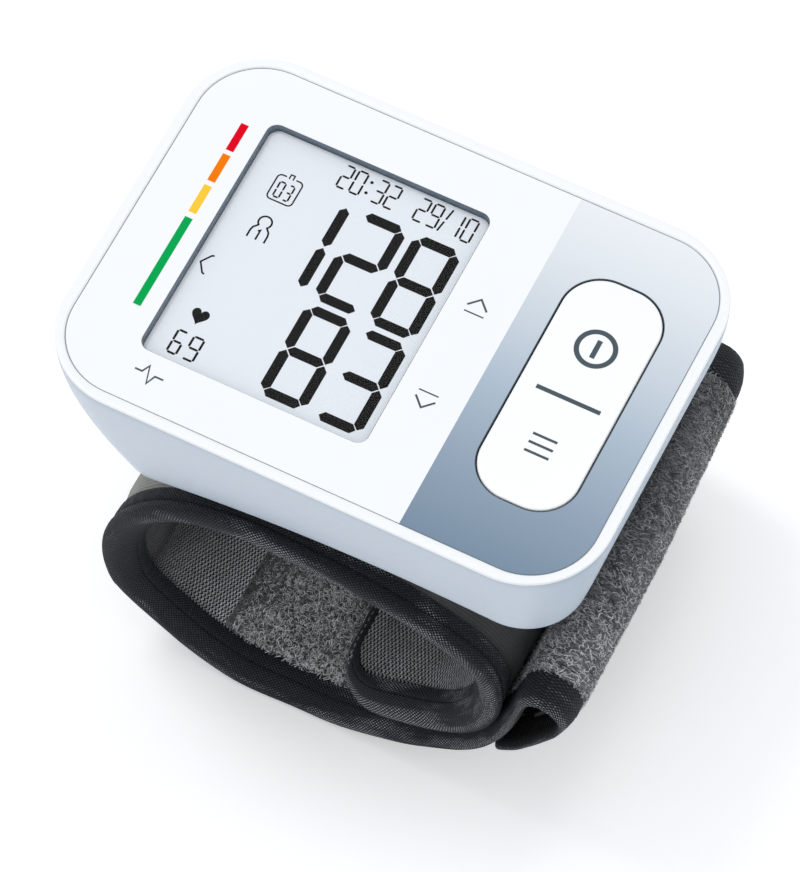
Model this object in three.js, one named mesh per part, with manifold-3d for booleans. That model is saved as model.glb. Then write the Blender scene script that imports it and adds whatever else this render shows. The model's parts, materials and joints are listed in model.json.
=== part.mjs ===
// Wrist blood pressure monitor: a display housing on a fabric cuff closed with hook and loop.
// Millimetres, +Z up, +X to the right of the display, +Y to its top edge.
// The origin is on the flat patch that rests on the table, straight below the display's centre.
// Housing pieces are placed by their depth below the rim's top, which is the group's zero.
import * as THREE from "three";
import { mergeVertices } from "three/addons/utils/BufferGeometryUtils.js";
import Module from "manifold-3d";

const wasm = await Module();
wasm.setup();

// Driving dimensions of the whole object
const totalHeight = 72;
const rimLength = 84;
const rimWidth = 60.6;
const rimRadius = 14;
const fitGap = 0.3;
const cutOverrun = 1;
const quarterTurn = 90;

// Housing walls: how far each wall has come in at the tub's full depth
const tubDepth = 22;
const tubReach = 4;
const leftInset = 9.5;
const rightInset = 3.6;
const sideInset = 2.05;
const leftCurveShare = 1.6;
const sideCurveShare = 1.4;
const tubRadius = 8.6;
const shellWall = 1.6;
const seamDepth = 1.3;
const rimRounding = 0.5;
const archRadius = 131;
const archApexX = 16.5;
const archApexDepth = 16.2;

// Face plate, window and key
const rimLandX = 2.5;
const rimLandY = 1.8;
const plateRadius = 11.8;
const plateTopDepth = 0.25;
const plateThickness = 0.7;
const deckThickness = 0.6;
const windowLeftMargin = 12.6;
const windowRightMargin = 36.4;
const windowFrontMargin = 10.1;
const windowBackMargin = 10;
const windowRadius = 1.7;
const lensThickness = 0.6;
const keyEdgeMargin = 14.67;
const keyCentreY = -0.15;
const keyOpeningX = 15.35;
const keyEndMargin = 11.4;
const keyRadius = 6.2;
const keyThickness = 2.5;
const keyProud = 0.1;
const keyPinRadius = 0.7;
const keyPinDrop = 0.8;
const keyEarThickness = 1.2;

// Display module and circuit board
const glassMargin = 1.3;
const glassThickness = 1.5;
const holderWall = 0.7;
const boardThickness = 1;
const boardTopDepth = 5;
const boardEdge = 4.2;
const chipSize = 8;
const chipThickness = 1.1;
const crystalLength = 6;
const crystalRadius = 1;
const buzzerRadius = 5;
const buzzerThickness = 2.2;
const domeRadius = 2.4;
const domeTravel = 0.6;

// Batteries
const cellRadius = 5.25;
const cellEndRoom = 8.05;
const cellNubRadius = 1.9;
const cellNubLength = 0.8;
const cellGap = 0.7;
const cellMargin = 13.5;
const cellDepth = 12;
const contactRoom = 2.6;
const contactThickness = 0.3;
const contactHeight = 6;
const springWire = 0.5;
const springTurns = 3;
const wireSides = 6;
const coverEndMargin = 10.3;
const coverTopDepth = 4;
const coverBottomDepth = 17.5;
const coverDepthX = 8;

// Pump, valve and air path
const pumpPlaceShare = 0.3095;
const pumpDepth = 12.2;
const motorRadius = 5;
const motorLength = 16;
const motorToManifold = 32.5;
const pumpHeadLength = 8.6;
const pumpHeadSize = 9.6;
const chamberRadius = 3.6;
const chamberLength = 4.4;
const shaftRadius = 0.7;
const camRadius = 2.2;
const camOffset = 0.8;
const camLength = 2.4;
const valveMargin = 14;
const valveDepth = 10.6;
const valveRadius = 4;
const valveLength = 9;
const valveToManifold = 17.5;
const plungerRadius = 1.2;
const plungerLength = 7;
const plungerTravel = 0.8;
const nozzleRadius = 1.05;
const nozzleLength = 2.2;
const tubeWall = 0.6;
const tubeClearance = 0.3;
const manifoldEndRoom = 3.2;
const manifoldSize = 4.8;
const manifoldMargin = 10.8;
const sensorSize = 7;
const sensorThickness = 1.8;
const nippleX = -2;
const nippleY = 5;

// Screws and posts
const postRadius = 1.8;
const screwBossRadius = 2.3;
const screwHeadRadius = 1.6;
const screwHeadLength = 1.1;
const screwShankRadius = 0.75;
const screwClearance = 0.2;
const screwEngagement = 4;
const headRecess = 1.6;
const postMeetDepth = 9;
const screwToCell = 4.75;
const leftScrewMargin = 4.3;
const rightScrewMarginX = 9.6;
const rightScrewMarginY = 5.7;

// Cuff: half length across the loop, width along the wrist, total thickness and tape
const cuffHalfLength = 32;
const cuffHalfWidth = 31;
const cuffStandOff = 3.204;
const loopThickness = 4.9;
const flapEndThickness = 1.8;
const tailEndThickness = 1.6;
const tapeThickness = 0.6;
const tapeWidth = 6;
const coverThickness = 1.5;
const stiffenerThickness = 0.5;
const bladderThickness = 0.5;
const layerGap = 0.3;
const innerLayerMargin = 8;
const hookThickness = 0.35;
const hookGap = 0.15;
const endRollLength = 1.4;
const bossBackY = 20;
const bossFrontY = -18;
const bossLeftX = -13.5;
const bossRightX = 20;
const bossDepth = 23.9;
const bossFromShare = 0.35;
const bossToShare = 0.85;
const pegRadius = 1.8;
const pegHeight = 3;
const pegSpacing = 26;
const pegX = -5;

// The cuff's outer surface seen from the front: shares of half length, and of total height
const loopShares = [
  [0.141, 0.132], [0.25, 0.139], [0.375, 0.153], [0.531, 0.176], [0.703, 0.206],
  [0.828, 0.25], [0.919, 0.311], [0.978, 0.383], [0.997, 0.458], [0.981, 0.521],
  [0.9375, 0.569], [0.85, 0.6125], [0.703, 0.65], [0.516, 0.681], [0.297, 0.7055],
  [0.031, 0.725], [-0.156, 0.7305], [-0.39, 0.714], [-0.609, 0.676], [-0.79, 0.617],
  [-0.916, 0.536], [-0.981, 0.444], [-1, 0.361], [-0.991, 0.289], [-0.947, 0.217],
];
const flapShares = [
  [-0.947, 0.217], [-0.847, 0.149], [-0.684, 0.081], [-0.522, 0.033], [-0.344, 0],
  [-0.125, 0], [0.094, 0], [0.266, 0.022], [0.4375, 0.057], [0.625, 0.101],
  [0.8125, 0.1625], [0.931, 0.231], [1.009, 0.303], [1.056, 0.364], [1.094, 0.431],
  [1.119, 0.486], [1.147, 0.525], [1.2, 0.54],
];
const tailShares = [
  [1.2, 0.54], [1.25, 0.525], [1.266, 0.494], [1.2375, 0.451], [1.175, 0.401],
  [1.109, 0.351], [1.0625, 0.311], [1.028, 0.281],
];
const bandTopShare = 0.7305;
const pileStartShare = 0.24;
const tailHookShare = 0.5;
const loopSteps = 46;
const flapSteps = 36;
const tailSteps = 12;
const samplesPerPoint = 20;

// Places that follow the rim's length and width
const rimHalfX = rimLength / 2;
const rimHalfY = rimWidth / 2;
const windowLeft = -rimHalfX + windowLeftMargin;
const windowRight = rimHalfX - windowRightMargin;
const windowFront = -rimHalfY + windowFrontMargin;
const windowBack = rimHalfY - windowBackMargin;
const keyCentreX = rimHalfX - keyEdgeMargin;
const keyOpeningY = rimWidth - 2 * keyEndMargin;
const cellLength = rimWidth - 2 * cellEndRoom;
const cellLeftX = -rimHalfX + cellMargin;
const cellRightX = cellLeftX + 2 * cellRadius + cellGap;
const coverLength = rimWidth - 2 * coverEndMargin;
const pumpX = rimHalfX * pumpPlaceShare;
const valveX = rimHalfX - valveMargin;
const manifoldY = rimHalfY - manifoldMargin;
const manifoldLength = valveX - pumpX + manifoldSize + manifoldEndRoom;
const motorFrontY = manifoldY - motorToManifold;
const valveFrontY = manifoldY - valveToManifold;
const leftScrewX = cellRightX + cellRadius + screwToCell;
const leftScrewY = rimHalfY - leftScrewMargin;
const rightScrewX = rimHalfX - rightScrewMarginX;
const rightScrewY = rimHalfY - rightScrewMarginY;

// The band's heights are shares of this, so that the loop's top stays below the housing
const bandHeight = (totalHeight - archApexDepth - cuffStandOff) / bandTopShare;

// Materials
const material = (color, roughness, metalness = 0) =>
  new THREE.MeshStandardMaterial({ color, roughness, metalness });
const whitePlastic = material(0xf4f5f7, 0.35);
const shellPlastic = material(0xc9d1db, 0.38);
const facePrint = material(0xf7f8fa, 0.25);
const clearPlastic = material(0xe8eef4, 0.08);
const displayGlass = material(0xdfe5ed, 0.15);
const greyPlastic = material(0x9aa0a6, 0.55);
const silicone = material(0xb9bdc2, 0.7);
const boardGreen = material(0x1f5b3a, 0.5);
const chipBlack = material(0x16171a, 0.45);
const steel = material(0xb8bcc0, 0.3, 1);
const brass = material(0xc8a24a, 0.35, 1);
const cellJacket = material(0x3c4650, 0.4);
const tapeFabric = material(0x2f3238, 0.85);
const coverFabric = material(0x4a4b4d, 0.9);
const meshFabric = material(0x55575a, 0.9);
const pileFabric = material(0x5c5e61, 1);
const hookFabric = material(0x232427, 0.9);
const bladderFilm = material(0x8e969c, 0.5);
const stiffPlastic = material(0x2a2c2f, 0.5);

// Solids: manifold-3d only joins and cuts, and the shapes are three.js geometry
function solid(geometry) {
  const plain = geometry.index ? geometry.toNonIndexed() : geometry.clone();
  const bare = new THREE.BufferGeometry();
  bare.setAttribute("position", plain.getAttribute("position"));
  const merged = mergeVertices(bare, 1e-4);
  return new wasm.Manifold(
    new wasm.Mesh({
      numProp: 3,
      vertProperties: merged.attributes.position.array,
      triVerts: new Uint32Array(merged.index.array),
    }),
  );
}

function geometryOf(body) {
  const mesh = body.getMesh();
  const geometry = new THREE.BufferGeometry();
  const positions = new Float32Array(mesh.numVert * 3);
  for (let i = 0; i < mesh.numVert; i++)
    positions.set(mesh.vertProperties.subarray(i * mesh.numProp, i * mesh.numProp + 3), i * 3);
  geometry.setAttribute("position", new THREE.BufferAttribute(positions, 3));
  geometry.setIndex(new THREE.BufferAttribute(mesh.triVerts, 1));
  geometry.computeVertexNormals();
  return geometry;
}

const join = (first, ...others) => others.reduce((sum, body) => sum.add(body), first);
const cut = (first, ...others) => others.reduce((sum, body) => sum.subtract(body), first);

function block(x0, x1, y0, y1, z0, z1) {
  const geometry = new THREE.BoxGeometry(x1 - x0, y1 - y0, z1 - z0);
  return solid(geometry.translate((x0 + x1) / 2, (y0 + y1) / 2, (z0 + z1) / 2));
}

// A round bar between two places along Z, or along Y with its centre at x and z
function barZ(x, y, z0, z1, radius, sides = 20) {
  const geometry = new THREE.CylinderGeometry(radius, radius, z1 - z0, sides);
  return solid(geometry.rotateX(Math.PI / 2).translate(x, y, (z0 + z1) / 2));
}
function barY(x, z, y0, y1, radius, sides = 24) {
  const geometry = new THREE.CylinderGeometry(radius, radius, y1 - y0, sides);
  return solid(geometry.translate(x, (y0 + y1) / 2, z));
}
function barX(y, z, x0, x1, radius, sides = 16) {
  const geometry = new THREE.CylinderGeometry(radius, radius, x1 - x0, sides);
  return solid(geometry.rotateZ(Math.PI / 2).translate((x0 + x1) / 2, y, z));
}

// Rings of equal count joined into one closed body, with the end rings capped
function loft(rings, capOutline) {
  const count = rings[0].length;
  const positions = rings.flat().flatMap((p) => [p.x, p.y, p.z]);
  const index = [];
  for (let k = 0; k + 1 < rings.length; k++)
    for (let i = 0; i < count; i++) {
      const a = k * count + i;
      const b = k * count + ((i + 1) % count);
      index.push(a, b, b + count, a, b + count, a + count);
    }
  const faces = THREE.ShapeUtils.triangulateShape(capOutline, []);
  const last = (rings.length - 1) * count;
  const clockwise = THREE.ShapeUtils.isClockWise(capOutline);
  for (const [a, b, c] of faces) {
    const [p, q] = clockwise ? [c, b] : [b, c];
    index.push(a, q, p);
    index.push(last + a, last + p, last + q);
  }
  const geometry = new THREE.BufferGeometry();
  geometry.setAttribute("position", new THREE.Float32BufferAttribute(positions, 3));
  geometry.setIndex(index);
  const body = solid(geometry);
  if (body.volume() > 0) return body;
  geometry.setIndex(index.map((_, i) => index[i - (i % 3) + [0, 2, 1][i % 3]]));
  return solid(geometry);
}

// Rounded rectangle as points, counter-clockwise
function roundedOutline(x0, x1, y0, y1, radius, steps = 7) {
  const corners = [
    [x1 - radius, y0 + radius, -quarterTurn],
    [x1 - radius, y1 - radius, 0],
    [x0 + radius, y1 - radius, quarterTurn],
    [x0 + radius, y0 + radius, 2 * quarterTurn],
  ];
  return corners.flatMap(([cx, cy, start]) =>
    Array.from({ length: steps + 1 }, (_, i) => {
      const angle = THREE.MathUtils.degToRad(start + (quarterTurn * i) / steps);
      return new THREE.Vector2(cx + radius * Math.cos(angle), cy + radius * Math.sin(angle));
    }),
  );
}

function plateBody(outline, z0, z1) {
  const ring = (z) => outline.map((p) => new THREE.Vector3(p.x, p.y, z));
  return loft([ring(z0), ring(z1)], outline);
}

// Housing: the outline at a depth, moved in by a wall
function housingOutline(depth, inset = 0) {
  const share = Math.max(depth, 0) / tubDepth;
  const sides = sideInset * share ** sideCurveShare + inset;
  const left = leftInset * share ** leftCurveShare + inset;
  const right = rightInset * share ** sideCurveShare + inset;
  const radius = rimRadius + (tubRadius - rimRadius) * Math.min(share, 1) - inset;
  const halfX = rimLength / 2;
  const halfY = rimWidth / 2;
  return roundedOutline(-halfX + left, halfX - right, -halfY + sides, halfY - sides, radius);
}
function housingLoft(fromDepth, toDepth, inset) {
  const levels = 7;
  const rings = Array.from({ length: levels + 1 }, (_, i) => {
    const depth = fromDepth + ((toDepth - fromDepth) * i) / levels;
    return housingOutline(depth, inset).map((p) => new THREE.Vector3(p.x, p.y, -depth));
  });
  return loft(rings, housingOutline(fromDepth, inset));
}

// Everything below the housing's arched underside, raised by a wall
function belowArch(raise) {
  const radius = archRadius + raise;
  const centreDepth = archApexDepth + archRadius;
  const reach = Math.asin(rimLength / radius);
  const steps = 36;
  const outline = Array.from({ length: steps + 1 }, (_, i) => {
    const angle = reach - (2 * reach * i) / steps;
    return new THREE.Vector2(
      archApexX + radius * Math.sin(angle),
      -centreDepth + radius * Math.cos(angle),
    );
  });
  outline.push(new THREE.Vector2(archApexX - rimLength, -centreDepth));
  outline.push(new THREE.Vector2(archApexX + rimLength, -centreDepth));
  const ring = (y) => outline.map((p) => new THREE.Vector3(p.x, y, p.y));
  return loft([ring(-rimWidth), ring(rimWidth)], outline);
}
const undersideDepth = (x) =>
  archApexDepth + archRadius - Math.sqrt(archRadius ** 2 - (x - archApexX) ** 2);

// One smooth line runs along the whole band; each body takes its part of it
const bandShares = [...loopShares, ...flapShares.slice(1), ...tailShares.slice(1)];
const bandCurve = new THREE.CatmullRomCurve3(
  bandShares.map(([x, z]) => new THREE.Vector3(x * cuffHalfLength, 0, z * bandHeight)),
  false,
  "centripetal",
);
bandCurve.arcLengthDivisions = (bandShares.length - 1) * samplesPerPoint;
const bandLengths = bandCurve.getLengths();

// Points between two of the shares, each with the normal that points into the band
function cuffLine(firstPoint, lastPoint, steps) {
  const from = bandLengths[firstPoint * samplesPerPoint];
  const to = bandLengths[lastPoint * samplesPerPoint];
  const whole = bandLengths[bandLengths.length - 1];
  return Array.from({ length: steps + 1 }, (_, i) => {
    const u = (from + ((to - from) * i) / steps) / whole;
    const point = bandCurve.getPointAt(u);
    const heading = bandCurve.getTangentAt(u);
    if (point.z < cutOverrun / 5) heading.z = 0;
    point.z = Math.max(point.z, 0);
    return { point, inward: new THREE.Vector3(-heading.z, 0, heading.x).normalize() };
  });
}
const lineLength = (line) =>
  line.slice(1).reduce((sum, s, i) => sum + s.point.distanceTo(line[i].point), 0);

// A station at any share of a line, for ends that fall between two steps
function stationAt(line, share) {
  const place = Math.min(Math.max(share, 0), 1) * (line.length - 1);
  const i = Math.min(Math.floor(place), line.length - 2);
  const mix = place - i;
  return {
    point: line[i].point.clone().lerp(line[i + 1].point, mix),
    inward: line[i].inward.clone().lerp(line[i + 1].inward, mix).normalize(),
  };
}

// Sweep a profile of [depth, y] along part of a line; depth grows inward from the outer surface
function sweep(line, fromShare, toShare, profile) {
  const inner = line
    .map((_, i) => i / (line.length - 1))
    .filter((share) => share > fromShare + 1e-3 && share < toShare - 1e-3);
  const shares = [fromShare, ...inner, toShare];
  const rings = shares.map((share) => {
    const { point, inward } = stationAt(line, share);
    return profile(share).map(
      ([depth, y]) =>
        new THREE.Vector3(point.x + inward.x * depth, y, point.z + inward.z * depth),
    );
  });
  const outline = profile(fromShare).map(([depth, y]) => new THREE.Vector2(depth, y));
  return loft(rings, outline);
}

// Layer profiles. The scale squeezes the whole stack where the strap gets thin.
const legEdge = cuffHalfWidth - tapeWidth;
const tongueEdge = cuffHalfWidth - endRollLength - layerGap;
const band = (low, high, edge) => (scale) => [
  [low * scale, -edge], [low * scale, edge], [high * scale, edge], [high * scale, -edge],
];
const outerLayer = (scale) => {
  const step = tapeThickness + layerGap;
  const edge = legEdge - layerGap;
  return [
    [0, -edge], [0, edge], [step * scale, edge], [step * scale, tongueEdge],
    [coverThickness * scale, tongueEdge], [coverThickness * scale, -tongueEdge],
    [step * scale, -tongueEdge], [step * scale, -edge],
  ];
};
const innerLayer = (start) => (scale) => {
  const step = loopThickness - tapeThickness - layerGap;
  const edge = legEdge - layerGap;
  return [
    [start * scale, -tongueEdge], [start * scale, tongueEdge],
    [step * scale, tongueEdge], [step * scale, edge],
    [loopThickness * scale, edge], [loopThickness * scale, -edge],
    [step * scale, -edge], [step * scale, -tongueEdge],
  ];
};
// Tape folded round the edge on one side, with a round nose
const tapeProfile = (side) => (scale) => {
  const thick = loopThickness * scale;
  const tape = tapeThickness * scale;
  const nose = Math.min(thick / 2, endRollLength);
  const noseSteps = 4;
  const round = Array.from({ length: noseSteps + 1 }, (_, i) => {
    const angle = (Math.PI * i) / noseSteps;
    return [
      thick / 2 - (thick / 2) * Math.cos(angle),
      side * (cuffHalfWidth - nose + nose * Math.sin(angle)),
    ];
  });
  const inside = cuffHalfWidth - endRollLength;
  return [
    [0, side * legEdge], ...round, [thick, side * legEdge],
    [thick - tape, side * legEdge], [thick - tape, side * inside],
    [tape, side * inside], [tape, side * legEdge],
  ];
};

// The lines themselves, and each body's thickness along its line
const hingePoint = loopShares.length - 1;
const foldPoint = hingePoint + flapShares.length - 1;
const loopLine = cuffLine(0, hingePoint, loopSteps);
const flapLine = cuffLine(hingePoint, foldPoint, flapSteps);
const tailLine = cuffLine(foldPoint, bandShares.length - 1, tailSteps);
const loopLength = lineLength(loopLine);
const flapLength = lineLength(flapLine);
const tailLength = lineLength(tailLine);
const loopScale = () => 1;
const flapScale = (share) => 1 + (flapEndThickness / loopThickness - 1) * share;
const tailScale = (share) =>
  (flapEndThickness + (tailEndThickness - flapEndThickness) * share) / loopThickness;
const along = (scale, profile) => (share) => profile(scale(share));

// The object and its groups
const monitor = new THREE.Group();
const housing = new THREE.Group();
housing.position.z = totalHeight;
monitor.add(housing);

function add(name, body, look, group = monitor) {
  const mesh = new THREE.Mesh(geometryOf(body), look);
  mesh.name = name;
  group.add(mesh);
  return mesh;
}
const toHousing = (body) => body.translate([0, 0, -totalHeight]);

// Places that several pieces share
const plateBottomDepth = plateTopDepth + plateThickness;
const deckTopDepth = plateBottomDepth + fitGap / 3;
const deckBottomDepth = deckTopDepth + deckThickness;
const glassTopDepth = deckBottomDepth + fitGap / 2;
const glassBottomDepth = glassTopDepth + glassThickness;
const boardBottomDepth = boardTopDepth + boardThickness;
const contactY = cellLength / 2 + contactRoom;
const keyTopDepth = plateTopDepth - keyProud;
const keyBottomDepth = keyTopDepth + keyThickness;
const pinDepth = keyBottomDepth + keyPinDrop;
const screwPlaces = [
  [leftScrewX, -leftScrewY], [leftScrewX, leftScrewY],
  [rightScrewX, -rightScrewY], [rightScrewX, rightScrewY],
];
const tubeInner = nozzleRadius + tubeClearance;
const tubeOuter = tubeInner + tubeWall;
const nippleTopDepth = undersideDepth(nippleX) - shellWall - nozzleLength;
const manifoldLeftX = pumpX - manifoldSize;
const manifoldBottomDepth = pumpDepth + nozzleRadius + fitGap;
const manifoldTopDepth = manifoldBottomDepth - manifoldSize;
const pillOutline = (grow) =>
  roundedOutline(
    keyCentreX - keyOpeningX / 2 - grow, keyCentreX + keyOpeningX / 2 + grow,
    keyCentreY - keyOpeningY / 2 - grow, keyCentreY + keyOpeningY / 2 + grow,
    keyRadius + grow,
  );
const windowOutline = (grow) =>
  roundedOutline(
    windowLeft - grow, windowRight + grow, windowFront - grow, windowBack + grow,
    windowRadius + grow, 4,
  );
const plateOutline = (grow) =>
  roundedOutline(
    -rimLength / 2 + rimLandX - grow, rimLength / 2 - rimLandX + grow,
    -rimWidth / 2 + rimLandY - grow, rimWidth / 2 - rimLandY + grow, plateRadius + grow,
  );
const openingThrough = (outline) =>
  plateBody(outline, -deckBottomDepth - cutOverrun, cutOverrun);

// Upper case: rim, deck under the face plate, screw posts and the key's ears
function upperCase() {
  const rimRing = (depth, inset) =>
    housingOutline(depth, inset).map((p) => new THREE.Vector3(p.x, p.y, -depth));
  const rim = loft(
    [rimRing(0, rimRounding), rimRing(rimRounding, 0), rimRing(seamDepth - fitGap, 0)],
    housingOutline(0, rimRounding),
  );
  const skirtInset = shellWall + fitGap;
  const skirt = housingLoft(seamDepth - fitGap - rimRounding, deckBottomDepth, skirtInset);
  let body = cut(
    join(rim, skirt),
    plateBody(plateOutline(fitGap / 2), -deckTopDepth, cutOverrun),
    openingThrough(windowOutline(0)),
    openingThrough(pillOutline(0)),
  );
  for (const [x, y] of screwPlaces) {
    body = join(body, barZ(x, y, -postMeetDepth, -deckTopDepth - deckThickness / 2, postRadius));
    body = cut(
      body,
      barZ(x, y, -postMeetDepth - cutOverrun, -postMeetDepth + screwEngagement + screwClearance,
        screwShankRadius + screwClearance),
    );
  }
  for (const side of [-1, 1]) {
    const near = keyCentreX + side * (keyOpeningX / 2 + fitGap);
    const far = near + side * keyEarThickness;
    const ear = block(
      Math.min(near, far), Math.max(near, far),
      keyCentreY - 2 * keyPinRadius, keyCentreY + 2 * keyPinRadius,
      -pinDepth - 2 * keyPinRadius, -deckBottomDepth + deckThickness / 2,
    );
    body = join(body, ear);
  }
  const pinHole = barX(
    keyCentreY, -pinDepth, keyCentreX - keyOpeningX, keyCentreX + keyOpeningX,
    keyPinRadius + fitGap / 3,
  );
  return cut(body, pinHole);
}
add("upper_case", upperCase(), whitePlastic, housing);

// Lower case: tapered tub with an arched underside, cuff boss, ribs, screw bosses
const coverWindow = (gap) =>
  block(
    -rimLength, -rimLength / 2 + coverDepthX + gap,
    -coverLength / 2 - gap, coverLength / 2 + gap,
    -coverBottomDepth - gap, -coverTopDepth + gap,
  );
const tubShell = cut(
  housingLoft(seamDepth, tubDepth + tubReach, 0),
  belowArch(0),
  cut(
    housingLoft(seamDepth - cutOverrun, tubDepth + tubReach + cutOverrun, shellWall),
    belowArch(shellWall),
  ),
);

// The boss under the tub, with its foot cut to the cuff's outer surface
function cuffBoss() {
  const top = -archApexDepth + shellWall / 2;
  const foot = block(bossLeftX, bossRightX, bossFrontY, bossBackY, -bossDepth, top);
  const cuffRoom = sweep(loopLine, bossFromShare, bossToShare,
    along(loopScale, band(-fitGap, loopThickness, rimWidth)));
  return cut(foot.intersect(belowArch(shellWall / 2)), toHousing(cuffRoom));
}

// Ribs, wall and screw bosses inside the tub, trimmed where they run into its walls
function tubFittings() {
  const floor = -tubDepth - tubReach;
  const ribLeft = cellLeftX - cellRadius / 2;
  const ribRight = cellRightX + cellRadius;
  const wallX = ribRight + fitGap;
  const pieces = [
    block(wallX, wallX + shellWall / 2, -contactY, contactY, floor, -cellDepth),
  ];
  for (const side of [-1, 1]) {
    const near = side * (contactY + contactThickness + fitGap);
    const far = near + (side * shellWall) / 2;
    pieces.push(
      block(ribLeft, ribRight, Math.min(near, far), Math.max(near, far), floor,
        -cellDepth + cellRadius / 2),
    );
  }
  for (const [x, y] of screwPlaces)
    pieces.push(barZ(x, y, floor, -postMeetDepth - fitGap, screwBossRadius));
  const room = cut(
    housingLoft(seamDepth, tubDepth + tubReach, shellWall / 2),
    belowArch(shellWall / 2),
  );
  return pieces.map((piece) => piece.intersect(room));
}

function lowerCase() {
  let body = join(tubShell, cuffBoss(), ...tubFittings());
  for (const [x, y] of screwPlaces) {
    const seat = -undersideDepth(x) + headRecess + screwHeadLength;
    body = cut(
      body,
      barZ(x, y, -tubDepth - tubReach, seat, screwHeadRadius + screwClearance),
      barZ(x, y, -tubDepth, -postMeetDepth + cutOverrun, screwShankRadius + screwClearance),
    );
  }
  const pocket = block(
    pumpX - motorRadius - fitGap * 2, pumpX + motorRadius + fitGap * 2,
    motorFrontY - fitGap * 2, motorFrontY + motorLength + pumpHeadLength + fitGap * 2,
    -pumpDepth - motorRadius - fitGap, -pumpDepth,
  );
  const nippleHole = barZ(
    nippleX, nippleY, -tubDepth - cutOverrun, -undersideDepth(nippleX) + shellWall + cutOverrun,
    nozzleRadius + fitGap,
  );
  body = cut(body, pocket, nippleHole, ...pegBodies(fitGap), coverWindow(fitGap));
  return body;
}

// Pegs that stand on the cuff's stiffener and plug into the boss
function pegBodies(grow) {
  const low = loopTopAt(pegX) - totalHeight - coverThickness - layerGap - stiffenerThickness / 2;
  return [-1, 1].map((side) =>
    barZ(pegX, (side * pegSpacing) / 2, low, low + coverThickness + layerGap + pegHeight + grow,
      pegRadius + grow),
  );
}
add("lower_case", lowerCase(), shellPlastic, housing);

// Battery cover: the piece of the tapered left wall that slides off sideways
add(
  "battery_cover",
  tubShell.intersect(coverWindow(0)),
  shellPlastic,
  housing,
);

// Face plate, lens and the rocker key on its pin
add(
  "face_plate",
  cut(
    plateBody(plateOutline(-fitGap / 2), -plateBottomDepth, -plateTopDepth),
    openingThrough(windowOutline(0)),
    openingThrough(pillOutline(0)),
  ),
  facePrint,
  housing,
);
add(
  "window_lens",
  plateBody(windowOutline(-fitGap), -deckBottomDepth, -deckBottomDepth + lensThickness),
  clearPlastic,
  housing,
);
function rockerKey() {
  const hub = block(
    keyCentreX - keyOpeningX / 2 + fitGap, keyCentreX + keyOpeningX / 2 - fitGap,
    keyCentreY - 2 * keyPinRadius, keyCentreY + 2 * keyPinRadius,
    -pinDepth - keyPinRadius * 1.5, -keyBottomDepth + keyThickness / 4,
  );
  const pinHole = barX(
    keyCentreY, -pinDepth, keyCentreX - keyOpeningX, keyCentreX + keyOpeningX,
    keyPinRadius + fitGap / 3,
  );
  const cap = plateBody(pillOutline(-fitGap), -keyBottomDepth, -keyTopDepth);
  return cut(join(cap, hub), pinHole);
}
add("rocker_key", rockerKey(), whitePlastic, housing);
const pinReach = keyOpeningX / 2 + fitGap + keyEarThickness;
add(
  "rocker_pin",
  barX(keyCentreY, -pinDepth, keyCentreX - pinReach, keyCentreX + pinReach, keyPinRadius),
  steel,
  housing,
);
for (const [name, side] of [["power_dome", 1], ["memory_dome", -1]]) {
  const height = boardTopDepth - keyBottomDepth - fitGap - domeTravel;
  const profile = [
    [0, 0], [domeRadius, 0], [domeRadius, height * 0.2], [domeRadius * 0.7, height * 0.75],
    [domeRadius * 0.45, height], [0, height],
  ].map(([r, z]) => new THREE.Vector2(r, z));
  const dome = solid(new THREE.LatheGeometry(profile, 20).rotateX(Math.PI / 2));
  add(name, dome, silicone, housing).position.set(
    keyCentreX, keyCentreY + (side * keyOpeningY) / 3, -boardTopDepth + fitGap,
  );
}

// Display module
const glass = {
  left: windowLeft - glassMargin, right: windowRight + glassMargin,
  front: windowFront - glassMargin, back: windowBack + glassMargin,
};
add(
  "display_glass",
  block(glass.left, glass.right, glass.front, glass.back, -glassBottomDepth, -glassTopDepth),
  displayGlass,
  housing,
);
function displayHolder() {
  const grow = fitGap + holderWall;
  const floorDepth = boardTopDepth - fitGap;
  const outer = block(
    glass.left - grow, glass.right + grow, glass.front - grow, glass.back + grow,
    -floorDepth, -glassTopDepth,
  );
  const pocket = block(
    glass.left - fitGap, glass.right + fitGap, glass.front - fitGap, glass.back + fitGap,
    -glassBottomDepth - fitGap, cutOverrun,
  );
  const zebraSlot = block(
    glass.left, glass.right, glass.front, glass.front + 3 * holderWall + fitGap,
    -floorDepth - cutOverrun, cutOverrun,
  );
  return cut(outer, pocket, zebraSlot);
}
add("display_holder", displayHolder(), greyPlastic, housing);
add(
  "display_connector_strip",
  block(
    glass.left + fitGap, glass.right - fitGap,
    glass.front + fitGap, glass.front + 3 * holderWall,
    -boardTopDepth + fitGap / 2, -glassBottomDepth - fitGap / 2,
  ),
  silicone,
  housing,
);

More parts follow.
